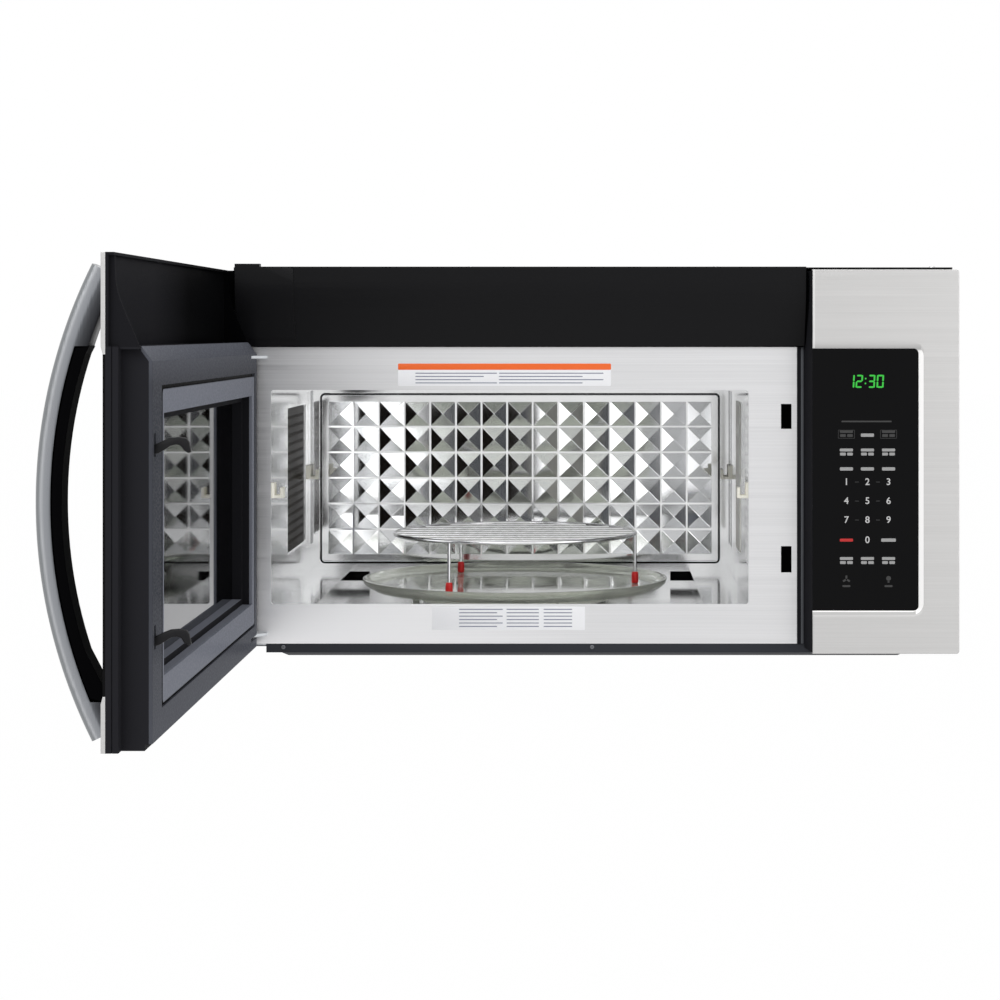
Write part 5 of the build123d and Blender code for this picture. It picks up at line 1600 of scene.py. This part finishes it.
class MICROWAVE_OT_labels(bpy.types.Operator):
    """Sticks two plain labels with ruled lines on the front plate."""

    bl_idname = "microwave.labels"
    bl_label = "Plain Labels"

    def execute(self, context):
        self.sticker("upper_label", (-0.2053, 0.0745), (0.0190, 0.0914), "label_paper", "mica")
        band_low, band_high = (-0.2053, 0.0916), (0.0190, 0.0982)
        self.sticker("upper_label_band", band_low, band_high, "label_orange", "foot_rubber")
        self.sticker("lower_label", (-0.1695, -0.1824), (-0.0084, -0.1576), "label_paper", "mica")
        bm = bmesh.new()
        for line in range(4):
            z = 0.0880 - line * 0.0034
            self.rule(bm, -0.187, z, 0.086 - 0.014 * (line % 3))
            self.rule(bm, -0.099, z, 0.110 - 0.022 * (line % 2))
        for line in range(6):
            z = -0.1606 - line * 0.0036
            for x, wide in ((-0.141, 0.046 - 0.006 * (line % 2)), (-0.091, 0.034), (-0.052, 0.030)):
                self.rule(bm, x, z, wide)
        piece("label_rules", bm, "chassis", "label_rule", "mica")
        return {"FINISHED"}

    def sticker(self, name, low, high, look, slot):
        bm = bmesh.new()
        near, far = PLATE_FACE - 0.00012, PLATE_FACE + 0.00002
        slab(bm, (low[0], near, low[1]), (high[0], far, high[1]), "y", 0.0012, 0.00004)
        piece(name, bm, "chassis", look, slot)

    def rule(self, bm, x, z, wide):
        near, far, half = PLATE_FACE - 0.00016, PLATE_FACE - 0.0001, 0.0005
        slab(bm, (x, near, z - half), (x + wide, far, z + half), "y", 0.0003, 0.0, 1)


class MICROWAVE_OT_screws(bpy.types.Operator):
    """Makes the screws of the case, the rear panel, the front plate and the pan."""

    bl_idname = "microwave.screws"
    bl_label = "Screws"

    def execute(self, context):
        bm = bmesh.new()
        radius = sizes().screw_head
        case_side, case_top, pan_radius = 0.3785, 0.1995, 0.0022
        rear_edge, front_edge = -0.020, -0.352
        side_places = [(rear_edge, z) for z in (0.180, 0.0, -0.180)]
        side_places += [(front_edge, z) for z in (-0.180, 0.090)]
        for x in (-case_side, case_side):
            out = (math.copysign(1.0, x), 0.0, 0.0)
            for y, z in side_places:
                self.screw(bm, (x, y, z), out, radius)
        for x in (-0.360, -0.130, 0.130, 0.360):
            self.screw(bm, (x, 0.0, 0.188), (0.0, 1.0, 0.0), radius)
            self.screw(bm, (x * 0.99, 0.0, -0.192), (0.0, 1.0, 0.0), radius)
            self.screw(bm, (x, -0.350, case_top), (0.0, 0.0, 1.0), radius)
            self.screw(bm, (x, -0.016, case_top), (0.0, 0.0, 1.0), radius)
        piece("case_screws", bm, "chassis", "bright_wire", "spring_steel")
        bm = bmesh.new()
        for x in (-0.326, -0.001):
            self.screw(bm, (x, PLATE_FACE, -0.2003), (0.0, -1.0, 0.0), pan_radius)
        piece("pan_screw_heads", bm, "chassis", "dull_screw", "spring_steel", ("pan_screws",))
        return {"FINISHED"}

    def screw(self, bm, place, out, radius):
        """A pan head with a round recess."""
        profile = (
            (0.0, 0.20),
            (0.34, 0.20),
            (0.38, 0.46),
            (0.42, 0.50),
            (0.70, 0.48),
            (0.90, 0.36),
            (1.0, 0.18),
            (1.0, -0.05),
            (0.0, -0.05),
        )
        points = [(across * radius, up * radius) for across, up in profile]
        lathe(bm, points, place, out, 24)


class MICROWAVE_OT_filters(bpy.types.Operator):
    """Makes the two grease filters: rolled frame, mesh and pull tab."""

    bl_idname = "microwave.filters"
    bl_label = "Grease Filters"

    def execute(self, context):
        for side in ("left", "right"):
            node = f"grease_filter_{side}"
            low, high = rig.box(node)
            self.frame(node, low, high)
            bm = bmesh.new()
            inset = 0.008
            inner_low = (low.x + inset, low.y + inset, low.z + 0.0008)
            inner_high = (high.x - inset, high.y - inset, high.z - 0.0008)
            slab(bm, inner_low, inner_high, "z", 0.002, 0.0006)
            piece(f"filter_mesh_{side}", bm, node, "filter_mesh", "aluminium")
        return {"FINISHED"}

    def frame(self, node, low, high):
        bm = bmesh.new()
        wide = 0.009
        for x in ((low.x, low.x + wide), (high.x - wide, high.x)):
            slab(bm, (x[0], low.y, low.z), (x[1], high.y, high.z), "y", 0.0012, 0.0004, 3)
        for y in ((low.y, low.y + wide), (high.y - wide, high.y)):
            slab(bm, (low.x, y[0], low.z), (high.x, y[1], high.z), "x", 0.0012, 0.0004, 3)
        middle, tab_half = (low.x + high.x) / 2, 0.014
        tab_low = (middle - tab_half, low.y + 0.002, low.z - 0.0012)
        tab_high = (middle + tab_half, low.y + 0.014, low.z + 0.001)
        slab(bm, tab_low, tab_high, "z", 0.004, 0.0004)
        piece(f"{node}_frame", bm, node, "aluminium", "aluminium", (node,))


class MICROWAVE_OT_panel_beads(bpy.types.Operator):
    """Adds the pressed beads of the rear panel and the case's top, and the gasket by the fascia."""

    bl_idname = "microwave.panel_beads"
    bl_label = "Panel Beads"

    def execute(self, context):
        bm = bmesh.new()
        for z in (-0.130, -0.075, -0.020, 0.035, 0.090):
            slab(bm, (-0.300, -0.0004, z - 0.004), (0.300, 0.0009, z + 0.004), "y", 0.0039, 0.0008, 6)
        piece("rear_beads", bm, "chassis", "galvanised", "galvanised")
        bm = bmesh.new()
        slab(bm, (0.2188, -0.3737, -0.1965), (0.2216, -0.3733, 0.1154), "y", 0.0006, 0.0001)
        piece("panel_gasket", bm, "chassis", "gasket_grey", "pan_paint")
        bm = bmesh.new()
        half_long, foot, top = 0.060, 0.1990, 0.2003
        for x in (-0.250, 0.250):
            for front, back in ((-0.270, -0.262), (-0.150, -0.142)):
                low, high = (x - half_long, front, foot), (x + half_long, back, top)
                slab(bm, low, high, "z", 0.0039, 0.0008, 6)
        piece("top_beads", bm, "chassis", "case_paint", "case_paint")
        return {"FINISHED"}


class MICROWAVE_PT_panel(bpy.types.Panel):
    """Lists the microwave's sizes, colours and pieces."""

    bl_idname = "MICROWAVE_PT_panel"
    bl_label = "Microwave"
    bl_space_type = "VIEW_3D"
    bl_region_type = "UI"
    bl_category = "Microwave"

    def draw(self, context):
        for group in (context.scene.microwave_sizes, context.scene.microwave_colours):
            box = self.layout.box()
            for name in group.__annotations__:
                box.prop(group, name)
        for operator in OPERATORS:
            self.layout.operator(operator.bl_idname)


OPERATORS = (
    MICROWAVE_OT_stage,
    MICROWAVE_OT_case,
    MICROWAVE_OT_oven,
    MICROWAVE_OT_door,
    MICROWAVE_OT_controls,
    MICROWAVE_OT_workings,
    MICROWAVE_OT_handle,
    MICROWAVE_OT_latch,
    MICROWAVE_OT_tray,
    MICROWAVE_OT_rack,
    MICROWAVE_OT_clock,
    MICROWAVE_OT_keypad,
    MICROWAVE_OT_labels,
    MICROWAVE_OT_screws,
    MICROWAVE_OT_filters,
    MICROWAVE_OT_panel_beads,
)
CLASSES = (MicrowaveSizes, MicrowaveColours, *OPERATORS, MICROWAVE_PT_panel)


def register():
    for cls in CLASSES:
        bpy.utils.register_class(cls)
    bpy.types.Scene.microwave_sizes = bpy.props.PointerProperty(type=MicrowaveSizes)
    bpy.types.Scene.microwave_colours = bpy.props.PointerProperty(type=MicrowaveColours)


def unregister():
    del bpy.types.Scene.microwave_colours
    del bpy.types.Scene.microwave_sizes
    for cls in reversed(CLASSES):
        bpy.utils.unregister_class(cls)


def main():
    register()
    for operator in OPERATORS:
        group, name = operator.bl_idname.split(".")
        getattr(getattr(bpy.ops, group), name)()
    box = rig.bounds()
    numbers = {name: [list(map(float, corner)) for corner in pair] for name, pair in (("cad", CAD_BOX), ("visual", box))}
    with open("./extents.json", "w") as file:
        json.dump(numbers, file)


if __name__ == "__main__":
    main()
